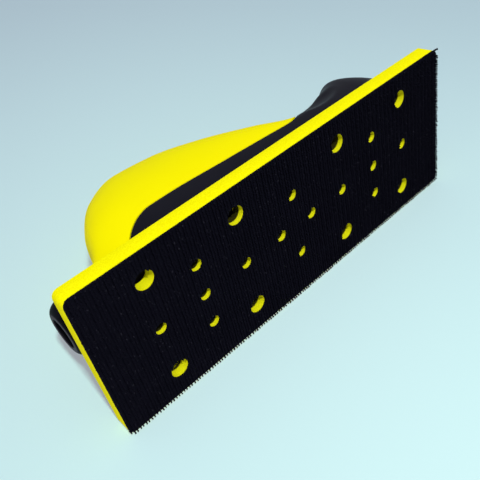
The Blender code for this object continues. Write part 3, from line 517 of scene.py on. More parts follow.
def write_hook_rows(recipe, ground, finish):
    """Hooks in rows over a ground cloth, left out where the cloth has a hole. Every other row
    leans the other way, and the hooks along the two long edges lean outwards."""
    height = recipe.size("Height")
    grid = recipe.add("GeometryNodeMeshGrid", {},
                      {"Size X": recipe.size("Length"), "Size Y": recipe.size("Width"),
                       "Vertices X": recipe.size("Rows"), "Vertices Y": recipe.size("Hooks")})
    position = recipe.add("GeometryNodeInputPosition")
    x = recipe.add("ShaderNodeSeparateXYZ", {}, {"Vector": position}, "X")
    row = recipe.add("ShaderNodeMath", {"operation": "ROUND"}, {0: x / ROW_PITCH})
    odd = recipe.add("ShaderNodeMath", {"operation": "PINGPONG"}, {0: row, 1: 1.0})
    y = recipe.add("ShaderNodeSeparateXYZ", {}, {"Vector": position}, "Y")
    from_middle = recipe.add("ShaderNodeMath", {"operation": "ABSOLUTE"}, {0: y})
    at_edge = recipe.add("ShaderNodeMath", {"operation": "COMPARE"},
                         {0: from_middle, 1: recipe.size("Width") / 2, 2: HOOK_PITCH / 2})
    backward = recipe.add("ShaderNodeMath", {"operation": "LESS_THAN"}, {0: y, 1: 0.0})
    turn = (odd * (1.0 - at_edge) + backward * at_edge) * math.pi
    spread = recipe.add("FunctionNodeRandomValue", {"data_type": "FLOAT_VECTOR"},
                        {"Min": (-HOOK_JITTER,) * 3, "Max": (HOOK_JITTER,) * 3,
                         "Seed": recipe.size("Seed")})
    offset = recipe.add("ShaderNodeVectorMath", {"operation": "MULTIPLY"},
                        {0: spread, 1: (1.0, 1.0, 0.0)})
    points = recipe.add("GeometryNodeSetPosition", {}, {"Geometry": grid, "Offset": offset})
    root = recipe.add("ShaderNodeVectorMath", {"operation": "MULTIPLY"},
                      {0: position, 1: (HOOK_INWARD_SHARE, HOOK_INWARD_SHARE, 1.0)})
    lean = recipe.add("ShaderNodeMath", {"operation": "COSINE"}, {0: turn})
    tip = recipe.add("ShaderNodeVectorMath", {"operation": "ADD"},
                     {0: position, 1: recipe.vector(y=lean * height * HOOK_REACH_SHARE)})
    root_on_cloth, tip_on_cloth = (
        recipe.add("GeometryNodeRaycast", {},
                   {"Target Geometry": recipe.shape, "Source Position": place,
                    "Ray Direction": (0.0, 0.0, 1.0), "Ray Length": 1.0}, "Is Hit")
        for place in (root, tip))
    held = recipe.add("FunctionNodeBooleanMath", {"operation": "OR"}, {0: tip_on_cloth, 1: at_edge})
    bare = recipe.add("FunctionNodeBooleanMath", {"operation": "NAND"}, {0: root_on_cloth, 1: held})
    points = recipe.add("GeometryNodeDeleteGeometry", {"domain": "POINT"},
                        {"Geometry": points, "Selection": bare})
    points = recipe.add("GeometryNodeSetPosition", {},
                        {"Geometry": points, "Offset": (0.0, 0.0, ground)})
    spine = recipe.add("GeometryNodeCurveQuadraticBezier", {},
                       {"Resolution": HOOK_STEPS, "Start": (0.0, 0.0, 0.0),
                        "Middle": recipe.vector(z=height * -HOOK_RISE_SHARE),
                        "End": recipe.vector(y=height * HOOK_REACH_SHARE,
                                             z=height * -HOOK_TIP_SHARE)})
    taper = recipe.add("GeometryNodeSplineParameter") * -HOOK_TIP_THINNESS_SHARE + HOOK_ROOT_SHARE
    spine = recipe.add("GeometryNodeSetCurveRadius", {}, {"Curve": spine, "Radius": taper})
    round_wire = recipe.add("GeometryNodeCurvePrimitiveCircle", {"mode": "RADIUS"},
                            {"Resolution": HOOK_SIDES, "Radius": recipe.size("Wire")})
    hook = recipe.add("GeometryNodeCurveToMesh", {},
                      {"Curve": spine, "Profile Curve": round_wire, "Fill Caps": True})
    sway = recipe.add("FunctionNodeRandomValue", {"data_type": "FLOAT"},
                      {2: -HOOK_SWAY, 3: HOOK_SWAY, "Seed": recipe.size("Seed") + 1}, 1)
    facing = recipe.add("FunctionNodeEulerToRotation", {}, {0: recipe.vector(z=turn + sway)})
    growth = recipe.add("FunctionNodeRandomValue", {"data_type": "FLOAT"},
                        {2: HOOK_LEAST_GROWTH_SHARE, 3: 1.0, "Seed": recipe.size("Seed") + 2}, 1)
    hooks = recipe.add("GeometryNodeInstanceOnPoints", {},
                       {"Points": points, "Instance": hook, "Rotation": facing,
                        "Scale": recipe.vector(growth, growth, growth)})
    recipe.close(recipe.join(recipe.shape, hooks), finish)


tape = perforated_sheet.grow(hole_points("hook_tape"), Thickness=GROUND_THICKNESS)
tape.data.transform(Matrix.Translation((0, 0, ground_bottom)))
round_edges(tape, GROUND_EDGE, segments=1)
write_hook_rows(hook_rows, ground_bottom + HOOK_WIRE_RADIUS, hook_nylon)
hook_rows.grow(tape)
dress(tape, hook_nylon)
stand_for(tape, "hook_face", "block")


# Housing
# One thin-walled moulding in satin charcoal plastic, which is the suction chamber: ribs, screw
# bosses and the port stand inside it. Both sides of its raised nose are scooped out for fingers.

BODY_REAR = 0.083
BODY_FRONT = 0.094
BODY_WIDTH = 0.059
BODY_HEIGHT = 0.0717
REAR_TUCK = 0.004
SKIN_THICKNESS = 0.0012
SKIN_EDGE = 0.0003
CORE_CLEARANCE = 0.0006
PORT_RADIUS = 0.0135
PORT_BORE_RADIUS = 0.0113
PORT_OUTREACH = 0.0002
PORT_EDGE = 0.0004
PORT_SURROUND_SHARE = 1.2
COLLAR_DEPTH = 0.013
COLLAR_PROUD = 0.00003
TURN_STEPS = 96
WELD = 0.000002
HOUSING_GRAIN = 0.00045
HOUSING_GRAIN_DEPTH = 0.00003
HOUSING_FLOW = 0.03
HOUSING_COLOURS = (0.0045, 0.0048, 0.0085), (0.0080, 0.0084, 0.0135)
HOUSING_LEAST_ROUGHNESS = 0.34
FLOW_ROUGHNESS = 0.12
GRAIN_ROUGHNESS = 0.06
SCOOP_LENGTH = 0.046
SCOOP_HEIGHT = 0.036
SCOOP_DEPTH = 0.0045
SCOOP_WIDTH = 0.024
SCOOP_EASE = 0.0011
SCOOP_PLACE_SHARE = 0.745
SCOOP_RISE_SHARE = 0.36
SCOOP_PITCH = math.radians(8)
FAR_AWAY = 1.0
LINE_POINTS = 120
ROW_COUNT = 44
BAND_STATIONS = 130
NOSE_STATIONS = 90

# Outlines of the body: place along its length from the rear, then the share of its height
CREST_SHARES = [(0.000, 0.140), (0.020, 0.291), (0.045, 0.351), (0.085, 0.614), (0.152, 0.853),
                (0.254, 1.000), (0.356, 0.972), (0.469, 0.826), (0.571, 0.589), (0.662, 0.304),
                (0.700, 0.332), (0.751, 0.375), (0.790, 0.423), (0.830, 0.471), (0.872, 0.541),
                (0.920, 0.434), (0.966, 0.277), (1.000, 0.093)]
WAIST_SHARES = [(0.000, 0.205), (0.186, 0.205), (0.638, 0.149), (0.808, 0.121), (1.000, 0.066)]
TAPER_SHARES = [(0.000, 1.000), (0.186, 1.000), (0.751, 0.950), (1.000, 0.910)]
PARTING_SHARES = [(0.066, -0.060), (0.0706, -0.018), (0.0876, 0.052), (0.110, 0.106),
                  (0.130, 0.148), (0.163, 0.195), (0.198, 0.219), (0.254, 0.220),
                  (0.393, 0.201), (0.534, 0.183), (0.616, 0.173), (0.644, 0.191),
                  (0.670, 0.247), (0.695, 0.338), (0.712, 0.470), (0.722, 0.700)]
SQUARENESS_SHARES = [(0.000, 2.8), (0.638, 2.8), (0.808, 3.0), (1.000, 3.0)]
FOOT_DRAFT_SHARES = [(0.000, 0.140), (0.100, 0.070), (0.186, 0.040), (1.000, 0.035)]
REAR_ROUND_SHARE = 0.196
FRONT_ROUND_SHARE = 0.842
REAR_ROUNDNESS = 2.17
FRONT_ROUNDNESS = 2.4
HIGHEST_WAIST_SHARE = 0.6

# Where along the body the parting line is sought at the foot and at the crest
FOOT_SEARCH_SHARES = (0.05, 0.20)
CREST_SEARCH_SHARES = (0.60, 0.75)
SEARCH_STEPS = 50

body_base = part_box("body_shell")[0].z
body_length = BODY_REAR + BODY_FRONT
port_place = Vector(frame["joints"][0]["pos_m"])


def smooth_through(table, at):
    """A smooth curve through a table of points that never swings past them."""
    steps = [(b[1] - a[1]) / (b[0] - a[0]) for a, b in zip(table, table[1:])]
    slopes = [steps[0]]
    for before, after in zip(steps, steps[1:]):
        slopes.append(2 * before * after / (before + after) if before * after > 0 else 0.0)
    slopes.append(steps[-1])
    at = min(max(at, table[0][0]), table[-1][0])
    last = next(i for i in range(1, len(table)) if at <= table[i][0])
    (x0, y0), (x1, y1) = table[last - 1], table[last]
    span = x1 - x0
    t = (at - x0) / span
    return (y0 * (1 + 2 * t) * (1 - t) ** 2 + slopes[last - 1] * span * t * (1 - t) ** 2
            + y1 * t * t * (3 - 2 * t) - slopes[last] * span * t * t * (1 - t))


def half_width(share, inset=0.0):
    """Half the body's width at its widest height, at this share of its length."""
    ends = 1.0
    if share < REAR_ROUND_SHARE:
        reach = 1 - share / REAR_ROUND_SHARE
        ends = (1 - reach ** REAR_ROUNDNESS) ** (1 / REAR_ROUNDNESS)
    if share > FRONT_ROUND_SHARE:
        reach = (share - FRONT_ROUND_SHARE) / (1 - FRONT_ROUND_SHARE)
        ends = max(0.0, 1 - reach ** FRONT_ROUNDNESS) ** (1 / FRONT_ROUNDNESS)
    return (BODY_WIDTH / 2 - inset) * ends * smooth_through(TAPER_SHARES, share)


def length_place(share, inset=0.0):
    return -BODY_REAR + inset + share * (body_length - 2 * inset)


def crest_height(share, inset=0.0):
    return body_base + BODY_HEIGHT * smooth_through(CREST_SHARES, share) - inset


def side_outline(share, inset=0.0):
    """Closely spaced points up one side of the body, from its foot to its crest."""
    width = half_width(share, inset)
    narrow = width * (1 - smooth_through(FOOT_DRAFT_SHARES, share))
    crest = max(crest_height(share, inset), body_base + SKIN_THICKNESS)
    waist = body_base + BODY_HEIGHT * smooth_through(WAIST_SHARES, share)
    waist = min(waist, body_base + (crest - body_base) * HIGHEST_WAIST_SHARE)
    power = 2 / smooth_through(SQUARENESS_SHARES, share)
    x = length_place(share, inset)
    tuck = REAR_TUCK * max(0.0, 1 - share / REAR_ROUND_SHARE) ** 2
    climb = np.linspace(0, 1, LINE_POINTS)
    draft = (1 - climb) ** 2
    lower = np.column_stack([x + tuck * draft, width - (width - narrow) * draft,
                             body_base + climb * (waist - body_base)])
    turn = np.linspace(0, math.pi / 2, LINE_POINTS)[1:]
    across = np.clip(np.cos(turn), 0, 1) ** power
    across[-1] = 0
    upper = np.column_stack([np.full_like(turn, x), width * across,
                             waist + (crest - waist) * np.sin(turn) ** power])
    return np.vstack([lower, upper])


def side_rows(share, inset, low, high):
    """Evenly spaced points up one side between two heights."""
    line = side_outline(share, inset)
    heights = line[:, 2]
    ends = np.clip([low, high], heights[0], heights[-1])
    tips = np.array([[np.interp(end, heights, line[:, axis]) for axis in range(3)]
                     for end in ends])
    line = np.vstack([tips[:1], line[(heights > ends[0]) & (heights < ends[1])], tips[1:]])
    along = np.concatenate([[0], np.cumsum(np.linalg.norm(np.diff(line, axis=0), axis=1))])
    even = np.linspace(0, along[-1], ROW_COUNT)
    return np.column_stack([np.interp(even, along, line[:, axis]) for axis in range(3)])


def parting_line(offset, front_offset):
    """The line where grip and housing meet, in the side view, shifted upwards and back."""
    shares = np.linspace(PARTING_SHARES[0][0], PARTING_SHARES[-1][0], LINE_POINTS)
    points = np.array([(length_place(share),
                        body_base + BODY_HEIGHT * smooth_through(PARTING_SHARES, share))
                       for share in shares])
    along = np.gradient(points, axis=0)
    along /= np.linalg.norm(along, axis=1)[:, None]
    front = np.arange(LINE_POINTS) > LINE_POINTS / 2
    shift = offset + (front_offset - offset) * np.where(front, np.maximum(along[:, 1], 0), 0)
    return points + shift[:, None] * np.column_stack([-along[:, 1], along[:, 0]])


def line_height(line, x):
    """Height of the parting line at x: under everything behind it, above everything in front."""
    return float(np.interp(x, line[:, 0], line[:, 1], left=0.0, right=1.0))


def meeting_share(line, inset, height_at, search):
    """The share of the length where the parting line reaches a height, between two shares."""
    start, end = search
    for _ in range(SEARCH_STEPS):
        middle = (start + end) / 2
        reached = line_height(line, length_place(middle, inset)) >= height_at(middle, inset)
        start, end = (start, middle) if reached else (middle, end)
    return end


def eased_shares(start, end, count, ease_start=True):
    """Shares from start to end, drawn together at the end, and at the start if it is eased."""
    even = np.linspace(0, 1, count)
    eased = (1 - np.cos(math.pi * even)) / 2 if ease_start else np.sin(math.pi / 2 * even)
    return start + (end - start) * eased


def shell_mesh(name, outer, inner, open_top):
    """A closed wall between an outer and an inner grid of points, with its mirror image.
    open_top tells for each station whether the wall ends there at an edge, or meets its mirror."""
    bm = bmesh.new()
    for side in (1, -1):
        walls = []
        for grid in (outer, inner):
            walls.append([[bm.verts.new((x, side * y, z)) for x, y, z in column]
                          for column in grid])
        for near, far in zip(walls[0], walls[0][1:]):
            for i in range(ROW_COUNT - 1):
                bm.faces.new((near[i], far[i], far[i + 1], near[i + 1]))
        for near, far in zip(walls[1], walls[1][1:]):
            for i in range(ROW_COUNT - 1):
                bm.faces.new((near[i], near[i + 1], far[i + 1], far[i]))
        for s in range(len(outer) - 1):
            for row in (0, -1) if open_top[s] else (0,):
                bm.faces.new((walls[0][s][row], walls[0][s + 1][row],
                              walls[1][s + 1][row], walls[1][s][row]))
    bmesh.ops.remove_doubles(bm, verts=bm.verts, dist=WELD)
    bmesh.ops.dissolve_degenerate(bm, edges=bm.edges, dist=WELD)
    bmesh.ops.recalc_face_normals(bm, faces=bm.faces)
    return mesh_from(bm, name)


def scoop_wall(x, z, extra=0.0):
    """How far out the scooped wall stands from the middle, or far away beside the scoop."""
    cos, sin = math.cos(SCOOP_PITCH), math.sin(SCOOP_PITCH)
    x = x - length_place(SCOOP_PLACE_SHARE)
    z = z - body_base - SCOOP_RISE_SHARE * BODY_HEIGHT
    x, z = x * cos + z * sin, z * cos - x * sin
    inside = 1 - (x / (SCOOP_LENGTH / 2 + extra)) ** 2 - (z / (SCOOP_HEIGHT / 2 + extra)) ** 2
    middle = half_width(SCOOP_PLACE_SHARE) - SCOOP_DEPTH + SCOOP_WIDTH / 2
    reach = (SCOOP_WIDTH / 2 + extra) * np.sqrt(np.maximum(inside, 0))
    return np.where(inside > 0, middle - reach, FAR_AWAY)


def scooped(grid, extra=0.0):
    """Push a grid's points in to the finger rest, with a soft edge round it."""
    wall = scoop_wall(grid[..., 0], grid[..., 2], extra)
    plain = grid[..., 1]
    share = np.clip(0.5 + 0.5 * (wall - plain) / SCOOP_EASE, 0, 1)
    eased = wall * (1 - share) + plain * share - SCOOP_EASE * share * (1 - share)
    moved = grid.copy()
    moved[..., 1] = np.maximum(np.where(wall < FAR_AWAY, eased, plain), 0) * (plain > 0)
    return moved


def housing_skin():
    """The outer wall: a band under the grip's edge that rises and closes over the nose."""
    line = parting_line(0.0, 0.0)
    grids = []
    for inset in (0.0, SKIN_THICKNESS):
        start = meeting_share(line, inset, lambda share, depth: body_base, FOOT_SEARCH_SHARES)
        tip = meeting_share(line, inset, crest_height, CREST_SEARCH_SHARES)
        shares = np.concatenate([eased_shares(start, tip, BAND_STATIONS)[:-1],
                                 eased_shares(tip, 1.0, NOSE_STATIONS, ease_start=False)])
        columns = []
        for share in shares:
            top = line_height(line, length_place(share, inset)) if share < tip else 1.0
            columns.append(side_rows(share, inset, body_base, top))
        grids.append(scooped(np.array(columns), inset))
    open_top = [station < BAND_STATIONS - 1 for station in range(len(grids[0]))]
    return shell_mesh("housing", grids[0], grids[1], open_top)


def inner_housing():
    """The frame's housing with its outside drawn in a little, so that only its inside shows."""
    mesh = frame["nodes"]["body_shell"].data.copy()
    bm = bmesh.new()
    bm.from_mesh(mesh)
    bmesh.ops.remove_doubles(bm, verts=bm.verts, dist=MERGE_DISTANCE)
    for vertex in bm.verts:
        x, y, z = vertex.co
        from_axis = math.hypot(y, z - port_place.z)
        if x < port_place.x + PORT_RADIUS and from_axis < PORT_RADIUS * PORT_SURROUND_SHARE:
            continue
        share = min(max((x + BODY_REAR) / body_length, 0.0), 1.0)
        line = side_outline(share)
        width = min(float(np.interp(z, line[:, 2], line[:, 1])), float(scoop_wall(x, z)))
        if abs(y) > width - SKIN_THICKNESS and width > SKIN_THICKNESS:
            vertex.co.y = math.copysign(max(0.0, width - SKIN_THICKNESS), y)
        if z > crest_height(share) - SKIN_THICKNESS:
            vertex.co.z -= CORE_CLEARANCE
    bm.to_mesh(mesh)
    bm.free()
    return mesh


def ring_profile(bore_radius, radius, inner, outer):
    """A plain ring's section, between two distances out from the body's rear."""
    return [(bore_radius, outer), (radius, outer), (radius, inner), (bore_radius, inner)]


def turned_piece(name, profile, edge=0.0, middle=0.0, sweep=2 * math.pi):
    """A closed profile of (radius, distance out from the body's rear) turned about the port's
    axis: all the way round, or through an angle on both sides of a middle, upwards being 0."""
    whole = sweep >= 2 * math.pi
    steps = TURN_STEPS if whole else round(TURN_STEPS * sweep / (2 * math.pi))
    bm = bmesh.new()
    rings = []
    for step in range(steps if whole else steps + 1):
        angle = middle + sweep * (step / steps - 0.5)
        across, up = math.sin(angle), math.cos(angle)
        rings.append([bm.verts.new(port_place + Vector((-out, radius * across, radius * up)))
                      for radius, out in profile])
    for near, far in zip(rings, rings[1:] + (rings[:1] if whole else [])):
        for i in range(len(profile)):
            bm.faces.new((near[i - 1], far[i - 1], far[i], near[i]))
    if not whole:
        bm.faces.new(rings[0])
        bm.faces.new(rings[-1])
    bmesh.ops.recalc_face_normals(bm, faces=bm.faces)
    piece = new_piece(name, mesh_from(bm, name))
    return round_edges(piece, edge, 2) if edge else piece


def merge(first, others):
    """Take other objects into the first one."""
    bm = bmesh.new()
    for item in [first] + others:
        bm.from_mesh(item.data)
    first.data = mesh_from(bm, first.name)
    for item in others:
        bpy.data.objects.remove(item, do_unlink=True)
    return first


satin_charcoal = Finish("satin_charcoal", roughness=0.42, specular=0.07)
moulded_grain = satin_charcoal.noise(HOUSING_GRAIN)
flow_marks = satin_charcoal.noise(HOUSING_FLOW, detail=3.0)
satin_charcoal.feed("Base Color", satin_charcoal.blend(flow_marks, *HOUSING_COLOURS))
satin_charcoal.feed("Roughness", flow_marks * FLOW_ROUGHNESS + moulded_grain * GRAIN_ROUGHNESS
                    + HOUSING_LEAST_ROUGHNESS)
satin_charcoal.relief(moulded_grain, HOUSING_GRAIN_DEPTH)

housing = round_edges(new_piece("housing", housing_skin()), SKIN_EDGE, 2)
collar_profile = ring_profile(PORT_BORE_RADIUS, PORT_RADIUS + COLLAR_PROUD,
                              -COLLAR_DEPTH, PORT_OUTREACH)
collar = turned_piece("collar", collar_profile, PORT_EDGE)
merge(housing, [new_piece("inside", inner_housing()), collar])
dress(housing, satin_charcoal)
stand_for(housing, "body_shell", "block")


# Palm grip
# A soft yellow elastomer cover over the housing's rear and top, moulded onto it. It ends at a
# groove behind the nose, and its thin lower edge follows the charcoal band down to the plate.

GRIP_THICKNESS = 0.003
GRIP_EDGE = 0.0005
SEAT_GAP = 0.0005
NOTCH_GAP = 0.0012
GRIP_STATIONS = 220
PORT_CORE = 0.00001
PORT_REACH = 0.03
GRIP_GRAIN = 0.0005
GRIP_GRAIN_DEPTH = 0.00004
GRIP_DRIFT = 0.025
GRIP_COLOURS = (0.97, 0.885, 0.0), (1.0, 0.93, 0.0)
GRIP_LEAST_ROUGHNESS = 0.52
GRIP_ROUGHNESS_SPREAD = 0.12

soft_yellow = Finish("soft_yellow", roughness=0.6, specular=0.015)
grip_grain = soft_yellow.noise(GRIP_GRAIN)
grip_drift = soft_yellow.noise(GRIP_DRIFT, detail=3.0)
soft_yellow.feed("Base Color", soft_yellow.blend(grip_drift, *GRIP_COLOURS))
soft_yellow.feed("Roughness", grip_drift * GRIP_ROUGHNESS_SPREAD + GRIP_LEAST_ROUGHNESS)
soft_yellow.relief(grip_grain, GRIP_GRAIN_DEPTH)


def largest_shell(bm):
    """The faces of the largest part of a mesh that hangs together."""
    left = set(bm.faces)
    largest = set()
    while left:
        front = [left.pop()]
        shell = set(front)
        while front:
            near = {other for edge in front.pop().edges for other in edge.link_faces} & left
            left -= near
            shell |= near
            front += near
        largest = max(largest, shell, key=len)
    return largest


def close_up(item):
    """Take out the crumbs that rounding and cutting leave where a wall runs out, and close it."""
    bm = bmesh.new()
    bm.from_mesh(item.data)
    bmesh.ops.remove_doubles(bm, verts=bm.verts, dist=WELD)
    bmesh.ops.dissolve_degenerate(bm, edges=bm.edges, dist=WELD)
    crumbs = {}
    for edge in bm.edges:
        by_area = sorted(edge.link_faces, key=lambda face: face.calc_area())
        crumbs.update(dict.fromkeys(by_area[:-2]))
    bmesh.ops.delete(bm, geom=list(crumbs), context="FACES")
    shell = largest_shell(bm)
    loose = [face for face in bm.faces if face not in shell]
    bmesh.ops.delete(bm, geom=loose, context="FACES")
    slits = [edge for edge in bm.edges if edge.is_boundary]
    bmesh.ops.holes_fill(bm, edges=slits, sides=0)
    bm.to_mesh(item.data)
    bm.free()
    return item


def grip_wall():
    """The grip's wall, from the parting line or the foot up over the crest."""
    line = parting_line(SEAT_GAP, NOTCH_GAP)
    grids = []
    for inset in (0.0, GRIP_THICKNESS):
        tip = meeting_share(line, inset, crest_height, CREST_SEARCH_SHARES)
        columns = []
        for share in eased_shares(0.0, tip, GRIP_STATIONS):
            low = max(body_base, line_height(line, length_place(share, inset)))
            columns.append(side_rows(share, inset, low, 1.0))
        grids.append(np.array(columns))
    return shell_mesh("palm_grip", grids[0], grids[1], [False] * len(grids[0]))


grip = round_edges(new_piece("palm_grip", grip_wall()), GRIP_EDGE)
port_profile = ring_profile(PORT_CORE, PORT_RADIUS + SEAT_GAP, -PORT_REACH, CUT_OVERRUN)
cut(grip, [turned_piece("port_hole", port_profile)])
close_up(grip)
dress(grip, soft_yellow)
stand_for(grip, "grip_cover", "block")


# Hose connection
# A white acetal bush stands in the housing's port. In it turns the connector, a moulded nozzle with
# a rounded end for the hose cuff, sealed by an O-ring and held by a zinc plated clip. A ribbed ring
# on its neck opens an air slot.

BUSH_BORE_RADIUS = 0.0092
BUSH_RADIUS = 0.0110
BUSH_FLANGE = (0.0005, 0.0017)
BUSH_INNER = -0.0168
WASHER_PLACES = (0.0020, 0.0026)
NECK_RADIUS = 0.0089
STEP_RADIUS = 0.0100
RING_PLACES = (0.0029, 0.0071)
RING_BORE_RADIUS = 0.0103
RING_RADIUS = 0.0122
RING_RIBS = 36
RING_RIB_RADIUS = 0.0002
RING_RIB_SIDES = 8
RIB_CLEARANCE = 0.06
RIM_RADIUS = 0.0123
RIM_PLACES = (0.0074, 0.0080)
DOME_LENGTH = 0.0065
DOME_STEPS = 24
LIP_RADIUS = 0.0074
LIP_ROUND = 0.0008
LIP_STEP = 4
NOZZLE_BORE_RADIUS = 0.0063
NOZZLE_INNER = -0.0201
GROOVE_PLACES = ((-0.00372, -0.00188), (-0.0184, -0.0168))
GROOVE_RADII = (0.00736, 0.0079)
BLEED_PLACES = (0.00425, 0.00605)
BLEED_SWEEP = math.radians(44)
BLEED_RADII = (0.0053, 0.0102)
RING_SLOT_RADII = (0.0101, 0.0142)
RING_SLOT_TURN = math.radians(61.6)
TURNED_EDGE = 0.00018
ACETAL_DRIFT = 0.006
ACETAL_GRAIN = 0.0005
ACETAL_GRAIN_DEPTH = 0.00002
ACETAL_COLOURS = (0.72, 0.70, 0.64), (0.80, 0.79, 0.74)
NOZZLE_DRIFT = 0.006
NOZZLE_GRAIN = 0.0004
NOZZLE_GRAIN_DEPTH = 0.00003
NOZZLE_COLOURS = (0.0028, 0.0028, 0.005), (0.006, 0.006, 0.0095)
NOZZLE_LEAST_ROUGHNESS = 0.5
NOZZLE_ROUGHNESS_SPREAD = 0.15
LIP_HIGHLIGHT_COLOUR = (0.065, 0.062, 0.075)
LIP_HIGHLIGHT_PLACES = (-0.09742, -0.09715)

white_acetal = Finish("white_acetal", roughness=0.4, specular=0.4)
acetal_drift = white_acetal.noise(ACETAL_DRIFT, detail=3.0)
white_acetal.feed("Base Color", white_acetal.blend(acetal_drift, *ACETAL_COLOURS))
white_acetal.relief(white_acetal.noise(ACETAL_GRAIN), ACETAL_GRAIN_DEPTH)

nozzle_grey = Finish("nozzle_grey", roughness=0.6, specular=0.03)
nozzle_drift = nozzle_grey.noise(NOZZLE_DRIFT, detail=3.0)
nozzle_colour = nozzle_grey.blend(nozzle_drift, *NOZZLE_COLOURS)
# Painted highlight: the mouth in front of the lip's edge is a lighter grey than the rest of the
# nozzle.
behind_lip = nozzle_grey.between(nozzle_grey.along("X"), *LIP_HIGHLIGHT_PLACES)
nozzle_grey.feed("Base Color", nozzle_grey.blend(behind_lip, LIP_HIGHLIGHT_COLOUR, nozzle_colour))
nozzle_grey.feed("Roughness", nozzle_drift * NOZZLE_ROUGHNESS_SPREAD + NOZZLE_LEAST_ROUGHNESS)
nozzle_grey.relief(nozzle_grey.noise(NOZZLE_GRAIN), NOZZLE_GRAIN_DEPTH)

grip_ribs = Recipe("grip_ribs", Ribs=RING_RIBS, Radius=RING_RADIUS, Wire=RING_RIB_RADIUS,
                   Near=RING_PLACES[0] + RING_RIB_RADIUS, Far=RING_PLACES[1] - RING_RIB_RADIUS)


def write_grip_ribs(recipe, finish):
    """Round ribs along the axis, evenly spaced about the ring, all but over its slot."""
    near, far = recipe.size("Near"), recipe.size("Far")
    circle = recipe.add("GeometryNodeMeshCircle", {},
                        {"Vertices": recipe.size("Ribs"), "Radius": recipe.size("Radius")})
    position = recipe.add("GeometryNodeInputPosition")
    x, y = (recipe.add("ShaderNodeSeparateXYZ", {}, {"Vector": position}, axis) for axis in "XY")
    turn = recipe.add("ShaderNodeMath", {"operation": "ARCTAN2"}, {0: y, 1: x})
    beside = recipe.add("ShaderNodeMath", {"operation": "COMPARE"},
                        {0: turn, 1: RING_SLOT_TURN, 2: BLEED_SWEEP / 2 + RIB_CLEARANCE})
    circle = recipe.add("GeometryNodeDeleteGeometry", {"domain": "POINT"},
                        {"Geometry": circle, "Selection": beside})
    spine = recipe.add("GeometryNodeCurvePrimitiveLine", {},
                       {"Start": recipe.vector(z=near), "End": recipe.vector(z=far)})
    profile = recipe.add("GeometryNodeCurvePrimitiveCircle", {"mode": "RADIUS"},
                         {"Resolution": RING_RIB_SIDES, "Radius": recipe.size("Wire")})
    rib = recipe.add("GeometryNodeCurveToMesh", {},
                     {"Curve": spine, "Profile Curve": profile, "Fill Caps": True})
    ribs = recipe.add("GeometryNodeInstanceOnPoints", {}, {"Points": circle, "Instance": rib})
    placed = recipe.add("GeometryNodeTransform", {},
                        {"Geometry": ribs, "Translation": tuple(port_place),
                         "Rotation": (0.0, -math.pi / 2, 0.0)})
    recipe.close(recipe.join(recipe.shape, placed), finish)


def bleed_slot(radii, middle):
    """A cutter for an air slot: a wedge of a ring."""
    profile = ring_profile(*radii, *BLEED_PLACES)
    return turned_piece("slot", profile, 0.0, middle, BLEED_SWEEP)


def nozzle_profile():
    """The connector from its mouth over the rounded end, the rim and the neck to its tail."""
    turns = [math.pi / 2 * step / DOME_STEPS for step in range(DOME_STEPS + 1)]
    mouth = RIM_PLACES[1] + DOME_LENGTH
    profile = [(NOZZLE_BORE_RADIUS + LIP_ROUND * (1 - math.cos(turn)),
                mouth - LIP_ROUND * (1 - math.sin(turn))) for turn in turns[::LIP_STEP]]
    profile += [(LIP_RADIUS + (RIM_RADIUS - LIP_RADIUS) * math.sin(turn),
                 RIM_PLACES[1] + DOME_LENGTH * math.cos(turn)) for turn in turns]
    profile += [(RIM_RADIUS, RIM_PLACES[0]), (STEP_RADIUS, RIM_PLACES[0]),
                (STEP_RADIUS, RING_PLACES[0]), (NECK_RADIUS, RING_PLACES[0])]
    for (low, high), radius in zip(GROOVE_PLACES, GROOVE_RADII):
        profile += [(NECK_RADIUS, high), (radius, high), (radius, low), (NECK_RADIUS, low)]
    return profile + [(NECK_RADIUS, NOZZLE_INNER), (NOZZLE_BORE_RADIUS, NOZZLE_INNER)]


bush_profile = ring_profile(BUSH_BORE_RADIUS, PORT_RADIUS, *BUSH_FLANGE)[:3]
bush_profile += ring_profile(BUSH_BORE_RADIUS, BUSH_RADIUS, BUSH_INNER, BUSH_FLANGE[0])[1:]
bush = turned_piece("bush", bush_profile, TURNED_EDGE)
stand_for(dress(bush, white_acetal), "port_bush", "block")

washer_profile = ring_profile(BUSH_BORE_RADIUS, RING_RADIUS, *WASHER_PLACES)
washer = turned_piece("washer", washer_profile, TURNED_EDGE)
stand_for(dress(washer, nozzle_grey), "thrust_washer", "block")

nozzle = turned_piece("nozzle", nozzle_profile(), TURNED_EDGE)
cut(nozzle, [bleed_slot(BLEED_RADII, 0.0)])
stand_for(dress(nozzle, nozzle_grey), "hose_connector", "connector")
paint("o_ring", gasket_rubber)
paint("retaining_clip", zinc_plating)

regulator_profile = ring_profile(RING_BORE_RADIUS, RING_RADIUS, *RING_PLACES)
ring = turned_piece("ring", regulator_profile, TURNED_EDGE)
cut(ring, [bleed_slot(RING_SLOT_RADII, RING_SLOT_TURN)])
write_grip_ribs(grip_ribs, nozzle_grey)
grip_ribs.grow(ring)
stand_for(dress(ring, nozzle_grey), "suction_ring", "regulator")


# Studio
# The block lies on its side on a pale table, on the pad's back edge and the grip's flank, as in the
# photograph. One small lamp throws its shadow, a wide weak one and a pale surround fill it in.

